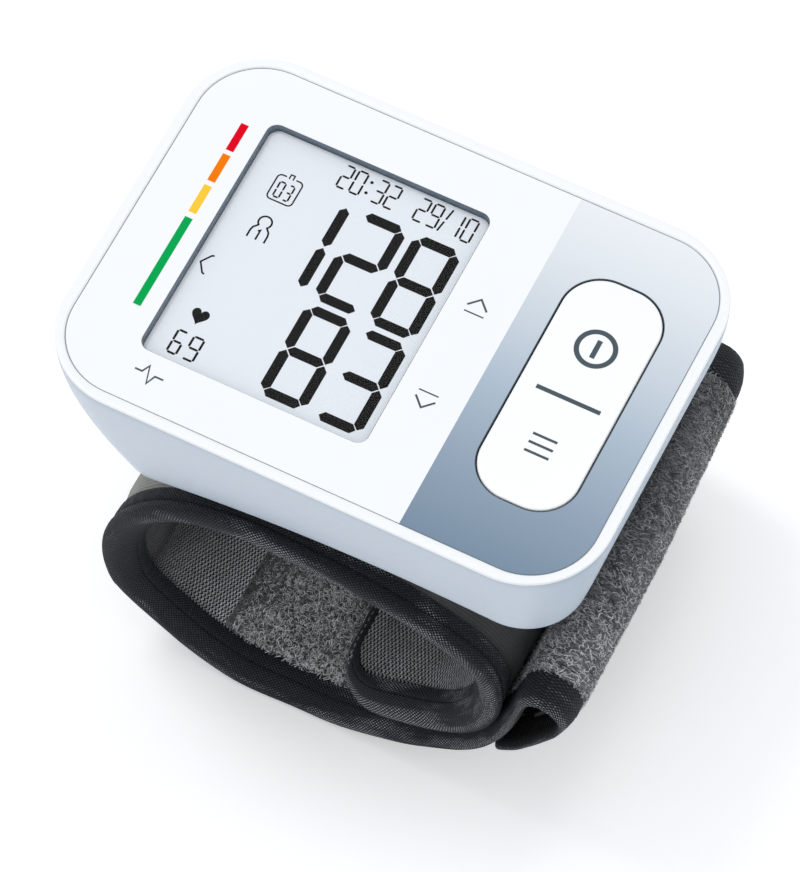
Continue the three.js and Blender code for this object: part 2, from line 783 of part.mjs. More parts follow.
// Main circuit board and what is soldered to it
function mainBoard() {
  const outline = housingOutline(boardBottomDepth, shellWall + boardEdge / 2);
  const holes = screwPlaces.map(([x, y]) =>
    barZ(x, y, -boardBottomDepth - cutOverrun, -boardTopDepth + cutOverrun,
      postRadius + fitGap),
  );
  const earSlots = [-1, 1].map((side) => {
    const middle = keyCentreX + side * (keyOpeningX / 2 + fitGap + keyEarThickness / 2);
    const half = keyEarThickness / 2 + fitGap;
    return block(
      middle - half, middle + half,
      keyCentreY - 2 * keyPinRadius - fitGap, keyCentreY + 2 * keyPinRadius + fitGap,
      -boardBottomDepth - cutOverrun, -boardTopDepth + cutOverrun,
    );
  });
  return cut(
    plateBody(outline, -boardBottomDepth, -boardTopDepth), ...holes, ...earSlots,
  );
}
add("main_board", mainBoard(), boardGreen, housing);
add(
  "controller_chip",
  block(
    -chipSize / 2, chipSize / 2, -chipSize / 2, chipSize / 2,
    -boardBottomDepth - fitGap / 2 - chipThickness, -boardBottomDepth - fitGap / 2,
  ),
  chipBlack,
  housing,
);
add(
  "clock_crystal",
  barY(
    -chipSize / 4, -boardBottomDepth - crystalRadius - fitGap / 2,
    -chipSize - crystalLength, -chipSize, crystalRadius, 12,
  ),
  steel,
  housing,
);
const buzzerY = -rimWidth / 4;
add(
  "buzzer",
  cut(
    barZ(valveX, buzzerY, -boardBottomDepth - fitGap - buzzerThickness,
      -boardBottomDepth - fitGap / 2, buzzerRadius),
    barZ(valveX, buzzerY, -boardBottomDepth - buzzerThickness - cutOverrun,
      -boardBottomDepth - buzzerThickness / 2, nozzleRadius),
  ),
  chipBlack,
  housing,
);

// Batteries and their contacts
function cellBody(x, side) {
  const end = (side * cellLength) / 2;
  const shoulder = end - side * cellNubLength;
  const can = barY(x, -cellDepth, Math.min(-end, shoulder), Math.max(-end, shoulder), cellRadius);
  const nub = barY(
    x, -cellDepth, Math.min(shoulder - side * cutOverrun, end),
    Math.max(shoulder - side * cutOverrun, end), cellNubRadius,
  );
  return join(can, nub);
}
add("battery_cell_left", cellBody(cellLeftX, 1), cellJacket, housing);
add("battery_cell_right", cellBody(cellRightX, -1), cellJacket, housing);
function contactPlate(x0, x1, side, dimpleX) {
  const near = side * contactY;
  const far = near + side * contactThickness;
  const plate = block(
    x0, x1, Math.min(near, far), Math.max(near, far),
    -cellDepth - contactHeight / 2, -cellDepth + contactHeight / 2,
  );
  const tip = side * (cellLength / 2 + fitGap);
  return join(plate, barY(dimpleX, -cellDepth, Math.min(near, tip), Math.max(near, tip),
    cellNubRadius * 0.8, 12));
}
const contactHalf = cellRadius * 0.6;
add(
  "contact_link_front",
  contactPlate(cellLeftX - contactHalf, cellRightX + contactHalf, -1, cellRightX),
  brass,
  housing,
);
add(
  "contact_positive",
  contactPlate(cellLeftX - contactHalf, cellLeftX + contactHalf, 1, cellLeftX),
  brass,
  housing,
);
add(
  "contact_negative",
  block(
    cellRightX - contactHalf, cellRightX + contactHalf, contactY, contactY + contactThickness,
    -cellDepth - contactHeight / 2, -cellDepth + contactHeight / 2,
  ),
  brass,
  housing,
);
// A conical wire spring whose small end presses on a cell
function contactSpring() {
  const room = contactRoom - 2 * fitGap - springWire;
  const turns = springTurns;
  const stepsPerTurn = 10;
  const points = Array.from({ length: turns * stepsPerTurn + 1 }, (_, i) => {
    const share = i / (turns * stepsPerTurn);
    const angle = 2 * Math.PI * turns * share;
    const radius = contactHalf - (contactHalf - cellNubRadius / 2) * share;
    return new THREE.Vector3(
      radius * Math.cos(angle), room * share, radius * Math.sin(angle),
    );
  });
  const wire = new THREE.Shape(
    Array.from({ length: wireSides }, (_, i) => {
      const angle = (2 * Math.PI * i) / wireSides;
      return new THREE.Vector2(
        (springWire / 2) * Math.cos(angle), (springWire / 2) * Math.sin(angle),
      );
    }),
  );
  return solid(
    new THREE.ExtrudeGeometry(wire, {
      steps: turns * stepsPerTurn,
      extrudePath: new THREE.CatmullRomCurve3(points),
      bevelEnabled: false,
    }),
  );
}
for (const [name, x, side] of [
  ["contact_spring_front", cellLeftX, -1],
  ["contact_spring_rear", cellRightX, 1],
]) {
  const spring = add(name, contactSpring(), steel, housing);
  spring.rotation.z = side > 0 ? Math.PI : 0;
  spring.position.set(x, side * (contactY - fitGap - springWire / 2), -cellDepth);
}

// Pump: motor can, head with a crank chamber, and the shaft that turns in both
const motorBackY = motorFrontY + motorLength;
const headFrontY = motorBackY + fitGap;
const headBackY = headFrontY + pumpHeadLength;
add(
  "pump_motor",
  cut(
    barY(pumpX, -pumpDepth, motorFrontY, motorBackY, motorRadius, 28),
    barY(pumpX, -pumpDepth, motorFrontY + motorLength / 4, motorBackY + cutOverrun,
      shaftRadius + fitGap / 3, 16),
  ),
  steel,
  housing,
);
add(
  "pump_head",
  join(
    cut(
      block(
        pumpX - pumpHeadSize / 2, pumpX + pumpHeadSize / 2, headFrontY, headBackY,
        -pumpDepth - pumpHeadSize / 2, -pumpDepth + pumpHeadSize / 2,
      ),
      barY(pumpX, -pumpDepth, headFrontY - cutOverrun, headFrontY + chamberLength,
        chamberRadius),
    ),
    barY(pumpX, -pumpDepth, headBackY - cutOverrun, headBackY + nozzleLength, nozzleRadius, 14),
  ),
  greyPlastic,
  housing,
);
const camFrontY = headFrontY + (chamberLength - camLength) / 2;
add(
  "pump_shaft",
  join(
    barY(pumpX, -pumpDepth, motorFrontY + motorLength / 4 + fitGap, camFrontY + camLength,
      shaftRadius, 16),
    barY(pumpX + camOffset, -pumpDepth, camFrontY, camFrontY + camLength, camRadius, 20),
  ),
  steel,
  housing,
);
function pumpBracket() {
  const outer = motorRadius + fitGap;
  const width = motorLength / 4;
  const middle = motorFrontY + motorLength / 2;
  const clip = cut(
    block(
      pumpX - outer - holderWall, pumpX + outer + holderWall,
      middle - width / 2, middle + width / 2, -pumpDepth, -pumpDepth + outer + holderWall / 2,
    ),
    barY(pumpX, -pumpDepth, middle - width, middle + width, outer, 28),
  );
  const floor = -archApexDepth + shellWall + fitGap;
  const feet = [-1, 1].map((side) => {
    const near = pumpX + side * (outer + fitGap);
    const far = near + side * 3 * holderWall;
    return block(
      Math.min(near, far), Math.max(near, far), middle - width / 2, middle + width / 2,
      floor, -pumpDepth + holderWall,
    );
  });
  return join(clip, ...feet);
}
add("pump_bracket", pumpBracket(), greyPlastic, housing);

// Release valve: coil body with a plunger in its bore
const valveBackY = valveFrontY + valveLength;
add(
  "valve_body",
  join(
    cut(
      barY(valveX, -valveDepth, valveFrontY, valveBackY, valveRadius),
      barY(valveX, -valveDepth, valveFrontY - cutOverrun, valveFrontY + plungerLength,
        plungerRadius + fitGap / 2, 16),
    ),
    barY(valveX, -valveDepth, valveBackY - cutOverrun, valveBackY + nozzleLength,
      nozzleRadius, 14),
  ),
  greyPlastic,
  housing,
);
add(
  "valve_plunger",
  join(
    barY(valveX, -valveDepth, valveFrontY - fitGap, valveFrontY + plungerLength - plungerTravel
      - fitGap, plungerRadius, 16),
    barY(valveX, -valveDepth, valveFrontY - plungerTravel - 3 * fitGap - plungerRadius,
      valveFrontY - plungerTravel - fitGap, plungerRadius * 1.8, 16),
    barY(valveX, -valveDepth, valveFrontY - plungerTravel - 2 * fitGap, valveFrontY,
      plungerRadius, 16),
  ),
  steel,
  housing,
);

// Air path: manifold, sensor, and silicone tubes over the nozzles
const manifoldFront = manifoldY - manifoldSize / 2;
const spigot = (x) =>
  barY(x, -pumpDepth, manifoldFront - nozzleLength, manifoldFront + cutOverrun, nozzleRadius, 14);
const manifoldTop = -manifoldTopDepth;
add(
  "air_manifold",
  cut(
    join(
      block(
        manifoldLeftX, manifoldLeftX + manifoldLength,
        manifoldFront, manifoldFront + manifoldSize,
        -manifoldBottomDepth, manifoldTop,
      ),
      spigot(pumpX),
      barY(valveX, -valveDepth, manifoldFront - nozzleLength, manifoldFront + cutOverrun,
        nozzleRadius, 14),
      barX(manifoldY, -pumpDepth, manifoldLeftX - nozzleLength, manifoldLeftX + cutOverrun,
        nozzleRadius, 14),
    ),
    barZ((pumpX + valveX) / 2, manifoldY, manifoldTop - manifoldSize / 2,
      manifoldTop + cutOverrun, nozzleRadius + fitGap),
  ),
  clearPlastic,
  housing,
);
add(
  "pressure_sensor",
  join(
    block(
      (pumpX + valveX) / 2 - sensorSize / 2, (pumpX + valveX) / 2 + sensorSize / 2,
      manifoldY - sensorSize / 2, manifoldY + sensorSize / 2,
      -boardBottomDepth - fitGap / 2 - sensorThickness, -boardBottomDepth - fitGap / 2,
    ),
    barZ((pumpX + valveX) / 2, manifoldY, manifoldTop - manifoldSize / 2 + fitGap,
      -boardBottomDepth - sensorThickness, nozzleRadius, 14),
  ),
  chipBlack,
  housing,
);
const sleeve = (x, depth, y0, y1) =>
  cut(
    barY(x, -depth, y0, y1, tubeOuter, 18),
    barY(x, -depth, y0 - cutOverrun, y1 + cutOverrun, tubeInner, 18),
  );
add(
  "pump_tube",
  sleeve(pumpX, pumpDepth, headBackY + fitGap, manifoldFront - fitGap),
  silicone,
  housing,
);
add(
  "valve_tube",
  sleeve(valveX, valveDepth, valveBackY + fitGap, manifoldFront - fitGap),
  silicone,
  housing,
);
// The tube from the cuff's nipple rises, bends and runs to the manifold's left end
function cuffTube() {
  const ring = new THREE.Shape();
  ring.absarc(0, 0, tubeOuter, 0, 2 * Math.PI);
  const bore = new THREE.Path();
  bore.absarc(0, 0, tubeInner, 0, 2 * Math.PI, true);
  ring.holes.push(bore);
  const low = -undersideDepth(nippleX) + shellWall + 2 * fitGap;
  const end = manifoldLeftX - fitGap;
  const high = -pumpDepth + nozzleLength;
  const straight = low + nozzleLength;
  const places = [
    [nippleX, nippleY, low],
    [nippleX, nippleY, straight],
    [nippleX, nippleY + tubeOuter / 2, (straight + high) / 2],
    [nippleX, nippleY + 2 * tubeOuter, high],
    [nippleX + tubeOuter / 2, manifoldY - tubeOuter, -pumpDepth + tubeWall],
    [nippleX + 2 * tubeOuter, manifoldY, -pumpDepth],
    [end - nozzleLength, manifoldY, -pumpDepth],
    [end, manifoldY, -pumpDepth],
  ];
  const route = new THREE.CatmullRomCurve3(
    places.map(([x, y, z]) => new THREE.Vector3(x, y, z)), false, "centripetal",
  );
  return solid(
    new THREE.ExtrudeGeometry(ring, {
      steps: 20, curveSegments: 5, extrudePath: route, bevelEnabled: false,
    }),
  );
}
add("cuff_tube", cuffTube(), silicone, housing);

// Screws: pan heads in the underside, shanks in the upper case's posts
screwPlaces.forEach(([x, y], i) => {
  const seat = -undersideDepth(x) + headRecess + screwHeadLength;
  const top = -postMeetDepth + screwEngagement;
  add(
    "case_screw_" + (i + 1),
    join(
      barZ(x, y, seat - screwHeadLength - screwClearance, seat - screwClearance,
        screwHeadRadius, 16),
      barZ(x, y, seat - screwHeadLength, top, screwShankRadius, 12),
    ),
    steel,
    housing,
  );
});

// A layer that is thinned where the end tape's legs cover it
function layerUnderEnd(line, length, scale, layer, covered, from, to, atStart) {
  const leg = (tapeWidth + layerGap) / length;
  const [cutFrom, cutTo] = atStart ? [0, leg] : [1 - leg, 1];
  return cut(
    sweep(line, from, to, along(scale, layer)),
    sweep(line, cutFrom, cutTo, along(scale, covered)),
  );
}
const trim = layerGap / 3;
const outerCovered = band(-cutOverrun, tapeThickness + layerGap + trim, rimWidth);
const innerCovered = band(
  loopThickness - tapeThickness - layerGap - trim, loopThickness + cutOverrun, rimWidth,
);

// Cuff loop, fixed to the housing: cover, stiffener, bladder, lining and edge tape
const loopStart = (endRollLength + layerGap) / loopLength;
const splitShare = (length) => fitGap / 2 / length;
const loopEnd = 1 - splitShare(loopLength);
const nippleHoleThrough = barZ(
  nippleX, nippleY, -tubDepth - loopThickness, -archApexDepth, nozzleRadius + fitGap,
);
const atTable = (body) => body.translate([0, 0, totalHeight]);
add(
  "cuff_cover",
  cut(
    layerUnderEnd(loopLine, loopLength, loopScale, outerLayer, outerCovered,
      loopStart, loopEnd, true),
    atTable(nippleHoleThrough), ...pegBodies(fitGap).map(atTable),
  ),
  coverFabric,
);
const stiffenerStart = coverThickness + layerGap;
const bladderStart = stiffenerStart + stiffenerThickness + layerGap;
const liningStart = bladderStart + bladderThickness + layerGap;
const layerEdge = cuffHalfWidth - innerLayerMargin;
add(
  "cuff_stiffener",
  cut(
    join(
      sweep(loopLine, loopStart + innerLayerMargin / loopLength,
        loopEnd - innerLayerMargin / loopLength,
        along(loopScale, band(stiffenerStart, stiffenerStart + stiffenerThickness, layerEdge))),
      ...pegBodies(0).map(atTable),
    ),
    atTable(nippleHoleThrough),
  ),
  stiffPlastic,
);
const bladderFromShare = 0.3;
const bladderToShare = 0.86;
add(
  "air_bladder",
  cut(
    join(
      sweep(loopLine, bladderFromShare, bladderToShare,
        along(loopScale, band(bladderStart, bladderStart + bladderThickness, layerEdge))),
      atTable(barZ(nippleX, nippleY,
        -totalHeight + loopTopAt(nippleX) - bladderStart - bladderThickness / 2,
        -nippleTopDepth, nozzleRadius, 14)),
    ),
    atTable(barZ(nippleX, nippleY, -nippleTopDepth - nozzleLength, -nippleTopDepth + cutOverrun,
      nozzleRadius / 2, 10)),
  ),
  bladderFilm,
);
function loopTopAt(x) {
  const above = loopLine.filter((s) => s.inward.z < 0);
  return above.reduce((best, s) =>
    Math.abs(s.point.x - x) < Math.abs(best.point.x - x) ? s : best,
  ).point.z;
}
add(
  "cuff_lining",
  layerUnderEnd(loopLine, loopLength, loopScale, innerLayer(liningStart), innerCovered,
    loopStart, loopEnd, true),
  meshFabric,
);

// Edge tape: both edges of a body, and across its free end where it has one
function edgeTape(line, fromShare, toShare, scale, side) {
  return sweep(line, fromShare, toShare, along(scale, tapeProfile(side)));
}
function endTape(line, length, scale, atStart) {
  const roll = endRollLength / length;
  const leg = tapeWidth / length;
  const [from, to] = atStart ? [0, leg] : [1 - leg, 1];
  const [slotFrom, slotTo] = atStart ? [roll, leg + roll] : [1 - leg - roll, 1 - roll];
  const wide = cuffHalfWidth - endRollLength / 2;
  const whole = sweep(line, from, to, along(scale, band(0, loopThickness, wide)));
  const slot = sweep(line, slotFrom, slotTo,
    along(scale, band(tapeThickness, loopThickness - tapeThickness, cuffHalfWidth - endRollLength)));
  return cut(whole, slot);
}
add(
  "loop_edge_tape",
  join(
    edgeTape(loopLine, 0, loopEnd, loopScale, -1),
    edgeTape(loopLine, 0, loopEnd, loopScale, 1),
    endTape(loopLine, loopLength, loopScale, true),
  ),
  tapeFabric,
);

// Outer flap, hinged at the left bend: cover, mesh lining, pile and edge tapes
const flapFrom = splitShare(flapLength);
const flapTo = 1 - splitShare(flapLength);
const flapLayerStart = coverThickness + layerGap;
add("flap_cover", sweep(flapLine, flapFrom, flapTo, along(flapScale, outerLayer)), coverFabric);
add(
  "flap_lining",
  sweep(flapLine, flapFrom, pileStartShare - splitShare(flapLength),
    along(flapScale, innerLayer(flapLayerStart))),
  meshFabric,
);
add(
  "flap_pile",
  sweep(flapLine, pileStartShare + splitShare(flapLength), flapTo,
    along(flapScale, innerLayer(flapLayerStart))),
  pileFabric,
);
add("flap_tape_front", edgeTape(flapLine, flapFrom, flapTo, flapScale, -1), tapeFabric);
add("flap_tape_back", edgeTape(flapLine, flapFrom, flapTo, flapScale, 1), tapeFabric);

// Strap tail, folded back over the flap's end, with its hook patch
const tailFrom = splitShare(tailLength);
const tailTo = 1 - (endRollLength + layerGap) / tailLength;
add(
  "tail_cover",
  layerUnderEnd(tailLine, tailLength, tailScale, outerLayer, outerCovered,
    tailFrom, tailTo, false),
  coverFabric,
);
add(
  "tail_pile",
  layerUnderEnd(tailLine, tailLength, tailScale, innerLayer(flapLayerStart), innerCovered,
    tailFrom, tailTo, false),
  pileFabric,
);
add(
  "tail_edge_tape",
  join(
    edgeTape(tailLine, tailFrom, 1, tailScale, -1),
    edgeTape(tailLine, tailFrom, 1, tailScale, 1),
    endTape(tailLine, tailLength, tailScale, false),
  ),
  tapeFabric,
);
add(
  "hook_patch",
  sweep(tailLine, tailHookShare, tailTo, () => [
    [-hookGap, -legEdge], [-hookGap, legEdge],
    [-hookGap - hookThickness, legEdge], [-hookGap - hookThickness, -legEdge],
  ]),
  hookFabric,
);

export default monitor;
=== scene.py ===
"""Looks of a wrist blood pressure monitor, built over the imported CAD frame.

Lengths here are in millimetres and are turned into metres as each mesh is made.
Depths in the housing are measured down from the rim's top.
"""

import json
import math

import bmesh
import bpy
import numpy as np
from mathutils import Matrix, Vector
from mathutils.geometry import tessellate_polygon


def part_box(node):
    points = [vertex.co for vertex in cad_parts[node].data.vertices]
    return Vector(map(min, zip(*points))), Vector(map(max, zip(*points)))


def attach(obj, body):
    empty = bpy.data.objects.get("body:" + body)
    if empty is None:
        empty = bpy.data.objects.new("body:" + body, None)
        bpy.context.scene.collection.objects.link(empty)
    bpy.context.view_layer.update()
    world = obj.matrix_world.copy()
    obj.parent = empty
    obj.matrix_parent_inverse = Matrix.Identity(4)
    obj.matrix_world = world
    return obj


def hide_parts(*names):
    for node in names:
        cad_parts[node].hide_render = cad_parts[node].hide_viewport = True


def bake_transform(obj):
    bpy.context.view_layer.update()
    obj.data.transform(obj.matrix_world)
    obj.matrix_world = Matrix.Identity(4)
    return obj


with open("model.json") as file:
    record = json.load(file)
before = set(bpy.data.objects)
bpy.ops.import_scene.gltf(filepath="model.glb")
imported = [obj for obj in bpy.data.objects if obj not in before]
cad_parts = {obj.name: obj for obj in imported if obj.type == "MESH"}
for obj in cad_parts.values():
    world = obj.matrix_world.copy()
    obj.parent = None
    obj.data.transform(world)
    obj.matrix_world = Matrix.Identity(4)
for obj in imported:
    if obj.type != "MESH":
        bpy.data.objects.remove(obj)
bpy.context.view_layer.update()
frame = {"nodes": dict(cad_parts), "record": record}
nodes = frame["nodes"]

MM = 0.001
RIM_TOP = 72.0

# Housing outline. It is the CAD source's, but for the rim's corners, which are tighter here, and
# the seam, which lies higher, both as the photograph shows them.
HALF_X = 42.0
HALF_Y = 30.3
RIM_RADIUS = 12.6
TUB_RADIUS = 8.6
TUB_DEPTH = 22.0
LEFT_INSET = 9.5
RIGHT_INSET = 3.6
SIDE_INSET = 2.05
LEFT_POWER = 1.6
SIDE_POWER = 1.4
ARCH_RADIUS = 131.0
ARCH_X = 16.5
ARCH_DEPTH = 16.2
SEAM = 0.5
PLATE_DEPTH = 0.25
PLATE_THICKNESS = 0.7
PLATE_OUTLINE = (-40.15, 40.15, -28.45, 28.45, 10.0)
GROOVE_OUTER = (-40.33, 40.33, -28.63, 28.63, 10.1)
GROOVE_INNER = (-40.14, 40.14, -28.44, 28.44, 10.0)
GROOVE_TOP, GROOVE_BOTTOM = 0.36, 0.9
GLASS_DEPTH = 1.8

# The cuff's band: points of its outer line in mm, from the inner flap's end to the strap's end
LOOP_SHARES = [
    (0.141, 0.132), (0.25, 0.139), (0.375, 0.153), (0.531, 0.176), (0.703, 0.206),
    (0.828, 0.25), (0.919, 0.311), (0.978, 0.383), (0.997, 0.458), (0.981, 0.521),
    (0.9375, 0.569), (0.85, 0.6125), (0.703, 0.65), (0.516, 0.681), (0.297, 0.7055),
    (0.031, 0.725), (-0.156, 0.7305), (-0.39, 0.713), (-0.6, 0.672), (-0.772, 0.609),
    (-0.893, 0.528), (-0.968, 0.44), (-1, 0.361), (-0.996, 0.288), (-0.952, 0.215),
]
FLAP_SHARES = [
    (-0.847, 0.149), (-0.684, 0.081), (-0.522, 0.033), (-0.344, 0),
    (-0.125, 0), (0.094, 0), (0.266, 0.022), (0.4375, 0.057), (0.625, 0.101),
    (0.8125, 0.1625), (0.931, 0.231), (1.009, 0.303), (1.056, 0.364), (1.094, 0.431),
    (1.119, 0.486), (1.147, 0.525), (1.2, 0.54),
]
TAIL_SHARES = [
    (1.255, 0.53), (1.29, 0.495), (1.27, 0.449), (1.21, 0.394),
    (1.145, 0.343), (1.08, 0.299), (0.978, 0.2585),
]
CUFF_HALF_LENGTH = 32.0
CUFF_HALF_WIDTH = 31.0
LOOP_THICKNESS = 4.9
STITCH = 3.3
FLAP_END_THICKNESS = 1.8
TAIL_END_THICKNESS = 1.0
# The photograph shows the cuff's back edge a little further out than its front edge, and the
# strap's tail a little askew
BACK_REACH = 1.08
SKEW = 0.044


# Mesh building

def new_mesh(name, points, faces, materials, slots=None, cloth=None, smooth=True):
    """A mesh object from points in mm. cloth holds each point's place on its fabric, in mm."""
    mesh = bpy.data.meshes.new(name)
    mesh.from_pydata([Vector(p) * MM for p in points], [], faces)
    for material in materials:
        mesh.materials.append(material)
    if slots is not None:
        mesh.polygons.foreach_set("material_index", slots)
    if cloth is not None:
        made = mesh.attributes.new("cloth", "FLOAT_VECTOR", "POINT")
        made.data.foreach_set("vector", np.asarray(cloth, dtype=float).ravel())
    work = bmesh.new()
    work.from_mesh(mesh)
    bmesh.ops.recalc_face_normals(work, faces=work.faces)
    work.to_mesh(mesh)
    work.free()
    for polygon in mesh.polygons:
        polygon.use_smooth = smooth
    made = bpy.data.objects.new(name, mesh)
    bpy.context.scene.collection.objects.link(made)
    if smooth:
        made.data.set_sharp_from_angle(angle=math.radians(38))
    return made


def grid_faces(rows, count, closed=True):
    """Quads between rows of points. closed joins each row's last point to its first."""
    faces = []
    for r in range(rows - 1):
        for i in range(count if closed else count - 1):
            a = r * count + i
            b = r * count + (i + 1) % count
            faces.append((a, b, b + count, a + count))
    return faces


def rings_object(name, rings, materials, cap_start=True, cap_end=True, **extra):
    """One closed body through rings of equal count."""
    count = len(rings[0])
    faces = grid_faces(len(rings), count)
    if cap_start:
        faces.append(tuple(range(count)))
    if cap_end:
        faces.append(tuple((len(rings) - 1) * count + i for i in range(count)))
    return new_mesh(name, np.concatenate(rings), faces, materials, **extra)


def ripple(seed, lengths, waves=7):
    """A smooth, repeatable height from -1 to 1 over (u, v), as a sum of waves."""
    rng = np.random.default_rng(seed)
    turns = rng.uniform(0, 2 * math.pi, waves)
    sizes = rng.uniform(lengths[0], lengths[1], waves)
    phases = rng.uniform(0, 2 * math.pi, waves)

    def height(u, v):
        total = 0.0
        for turn, size, phase in zip(turns, sizes, phases):
            along = math.cos(turn) * u + math.sin(turn) * v
            total = total + np.sin(2 * math.pi * along / size + phase)
        return total / math.sqrt(waves) / 1.4

    return height


# Materials

def rgb(text, alpha=1.0):
    """Linear colour from a written sRGB one."""
    parts = [int(text[i : i + 2], 16) / 255 for i in (1, 3, 5)]
    linear = [c / 12.92 if c <= 0.04045 else ((c + 0.055) / 1.055) ** 2.4 for c in parts]
    return (*linear, alpha)


class Look:
    """A material with short calls for its shader maths."""

    def __init__(self, name, color, roughness=0.5, metallic=0.0, specular=0.5):
        self.material = bpy.data.materials.new(name)
        self.material.use_nodes = True
        self.tree = self.material.node_tree
        self.shader = self.tree.nodes["Principled BSDF"]
        self.put(self.shader.inputs["Base Color"], color)
        self.put(self.shader.inputs["Roughness"], roughness)
        self.put(self.shader.inputs["Metallic"], metallic)
        self.put(self.shader.inputs["Specular IOR Level"], specular)
        self.material.diffuse_color = color if isinstance(color, tuple) else (0.5, 0.5, 0.5, 1)

    def node(self, kind, **settings):
        made = self.tree.nodes.new(kind)
        for key, value in settings.items():
            setattr(made, key, value)
        return made

    def put(self, socket, value):
        if isinstance(value, bpy.types.NodeSocket):
            self.tree.links.new(value, socket)
        else:
            socket.default_value = value

    def set(self, **inputs):
        for key, value in inputs.items():
            self.put(self.shader.inputs[key.replace("_", " ")], value)

    def math(self, operation, *values, clamp=False):
        made = self.node("ShaderNodeMath", operation=operation, use_clamp=clamp)
        for socket, value in zip(made.inputs, values):
            self.put(socket, value)
        return made.outputs[0]

    def mix(self, factor, a, b):
        made = self.node("ShaderNodeMix", data_type="RGBA")
        self.put(made.inputs[0], factor)
        self.put(made.inputs[6], a)
        self.put(made.inputs[7], b)
        return made.outputs[2]

    def rescale(self, value, low, high, new_low=0.0, new_high=1.0, smooth=False):
        made = self.node("ShaderNodeMapRange", clamp=True)
        if smooth:
            made.interpolation_type = "SMOOTHSTEP"
        for i, v in enumerate((value, low, high, new_low, new_high)):
            self.put(made.inputs[i], v)
        return made.outputs[0]

    def place(self):
        return self.node("ShaderNodeTexCoord").outputs["Object"]

    def cloth(self):
        return self.node("ShaderNodeAttribute", attribute_name="cloth").outputs["Vector"]

    def split(self, vector):
        made = self.node("ShaderNodeSeparateXYZ")
        self.put(made.inputs[0], vector)
        return made.outputs

    def scaled(self, vector, x, y, z):
        made = self.node("ShaderNodeVectorMath", operation="MULTIPLY")
        self.put(made.inputs[0], vector)
        made.inputs[1].default_value = (x, y, z)
        return made.outputs[0]

    def noise(self, vector, scale, detail=3.0, roughness=0.5, distortion=0.0):
        made = self.node("ShaderNodeTexNoise")
        self.put(made.inputs["Vector"], vector)
        for key, value in (
            ("Scale", scale), ("Detail", detail), ("Roughness", roughness),
            ("Distortion", distortion),
        ):
            self.put(made.inputs[key], value)
        return made.outputs["Fac"]

    def ramp(self, value, stops):
        made = self.node("ShaderNodeValToRGB")
        self.put(made.inputs[0], value)
        elements = made.color_ramp.elements
        while len(elements) < len(stops):
            elements.new(0.5)
        for element, (place, color) in zip(elements, stops):
            element.position = place
            element.color = color
        return made.outputs[0]

    def bump(self, height, distance, strength=1.0):
        made = self.node("ShaderNodeBump")
        self.put(made.inputs["Strength"], strength)
        self.put(made.inputs["Distance"], distance)
        self.put(made.inputs["Height"], height)
        self.put(self.shader.inputs["Normal"], made.outputs[0])


def plastic(name, color, roughness, tone=0.02, grain=0.00002):
    """Moulded plastic: a faint cloudiness of tone, a fine grain and uneven gloss."""
    look = Look(name, color, roughness)
    place = look.place()
    cloud = look.noise(place, 60.0, 3.0)
    darker = tuple(c * (1 - tone) for c in color[:3]) + (1.0,)
    look.set(Base_Color=look.mix(cloud, darker, color))
    look.set(Roughness=look.rescale(look.noise(place, 900.0, 4.0), 0.3, 0.7,
                                    roughness - 0.05, roughness + 0.07))
    look.bump(look.noise(place, 2600.0, 2.0), grain, 0.5)
    return look.material


def tub_material(name):
    """The lower case's blue-grey plastic, with painted shade that makes its right wall a little
    deeper and bluer.
    """
    color = rgb("#cad4df")
    look = Look(name, color, 0.36)
    place = look.place()
    cloud = look.noise(place, 60.0, 3.0)
    tone = look.mix(cloud, rgb("#c7d1dc"), color)
    # Painted shade: from x 34 mm outwards the right wall is mixed towards a deeper blue.
    right = look.rescale(look.split(place)[0], 0.034, 0.0415, 0.0, 0.8, smooth=True)
    look.set(Base_Color=look.mix(right, tone, rgb("#a9bacb")))
    look.set(Roughness=look.rescale(look.noise(place, 900.0, 4.0), 0.3, 0.7, 0.31, 0.43))
    look.bump(look.noise(place, 2600.0, 2.0), 0.00002, 0.5)
    return look.material


def metal(name, color, roughness):
    """Drawn or plated metal with fine streaks."""
    look = Look(name, color, roughness, metallic=1.0)
    place = look.place()
    streaks = look.noise(look.scaled(place, 4000.0, 300.0, 4000.0), 1.0, 3.0)
    look.set(Roughness=look.rescale(streaks, 0.3, 0.7, roughness - 0.08, roughness + 0.12))
    look.bump(streaks, 0.00001, 0.6)
    return look.material


def weave_height(look, u, v, pitch_u, pitch_v):
    """From -1 to 1: raised where one thread crosses over the other."""
    across = look.math("SINE", look.math("MULTIPLY", u, 2 * math.pi / pitch_u))
    down = look.math("SINE", look.math("MULTIPLY", v, 2 * math.pi / pitch_v))
    return look.math("MULTIPLY", across, down)


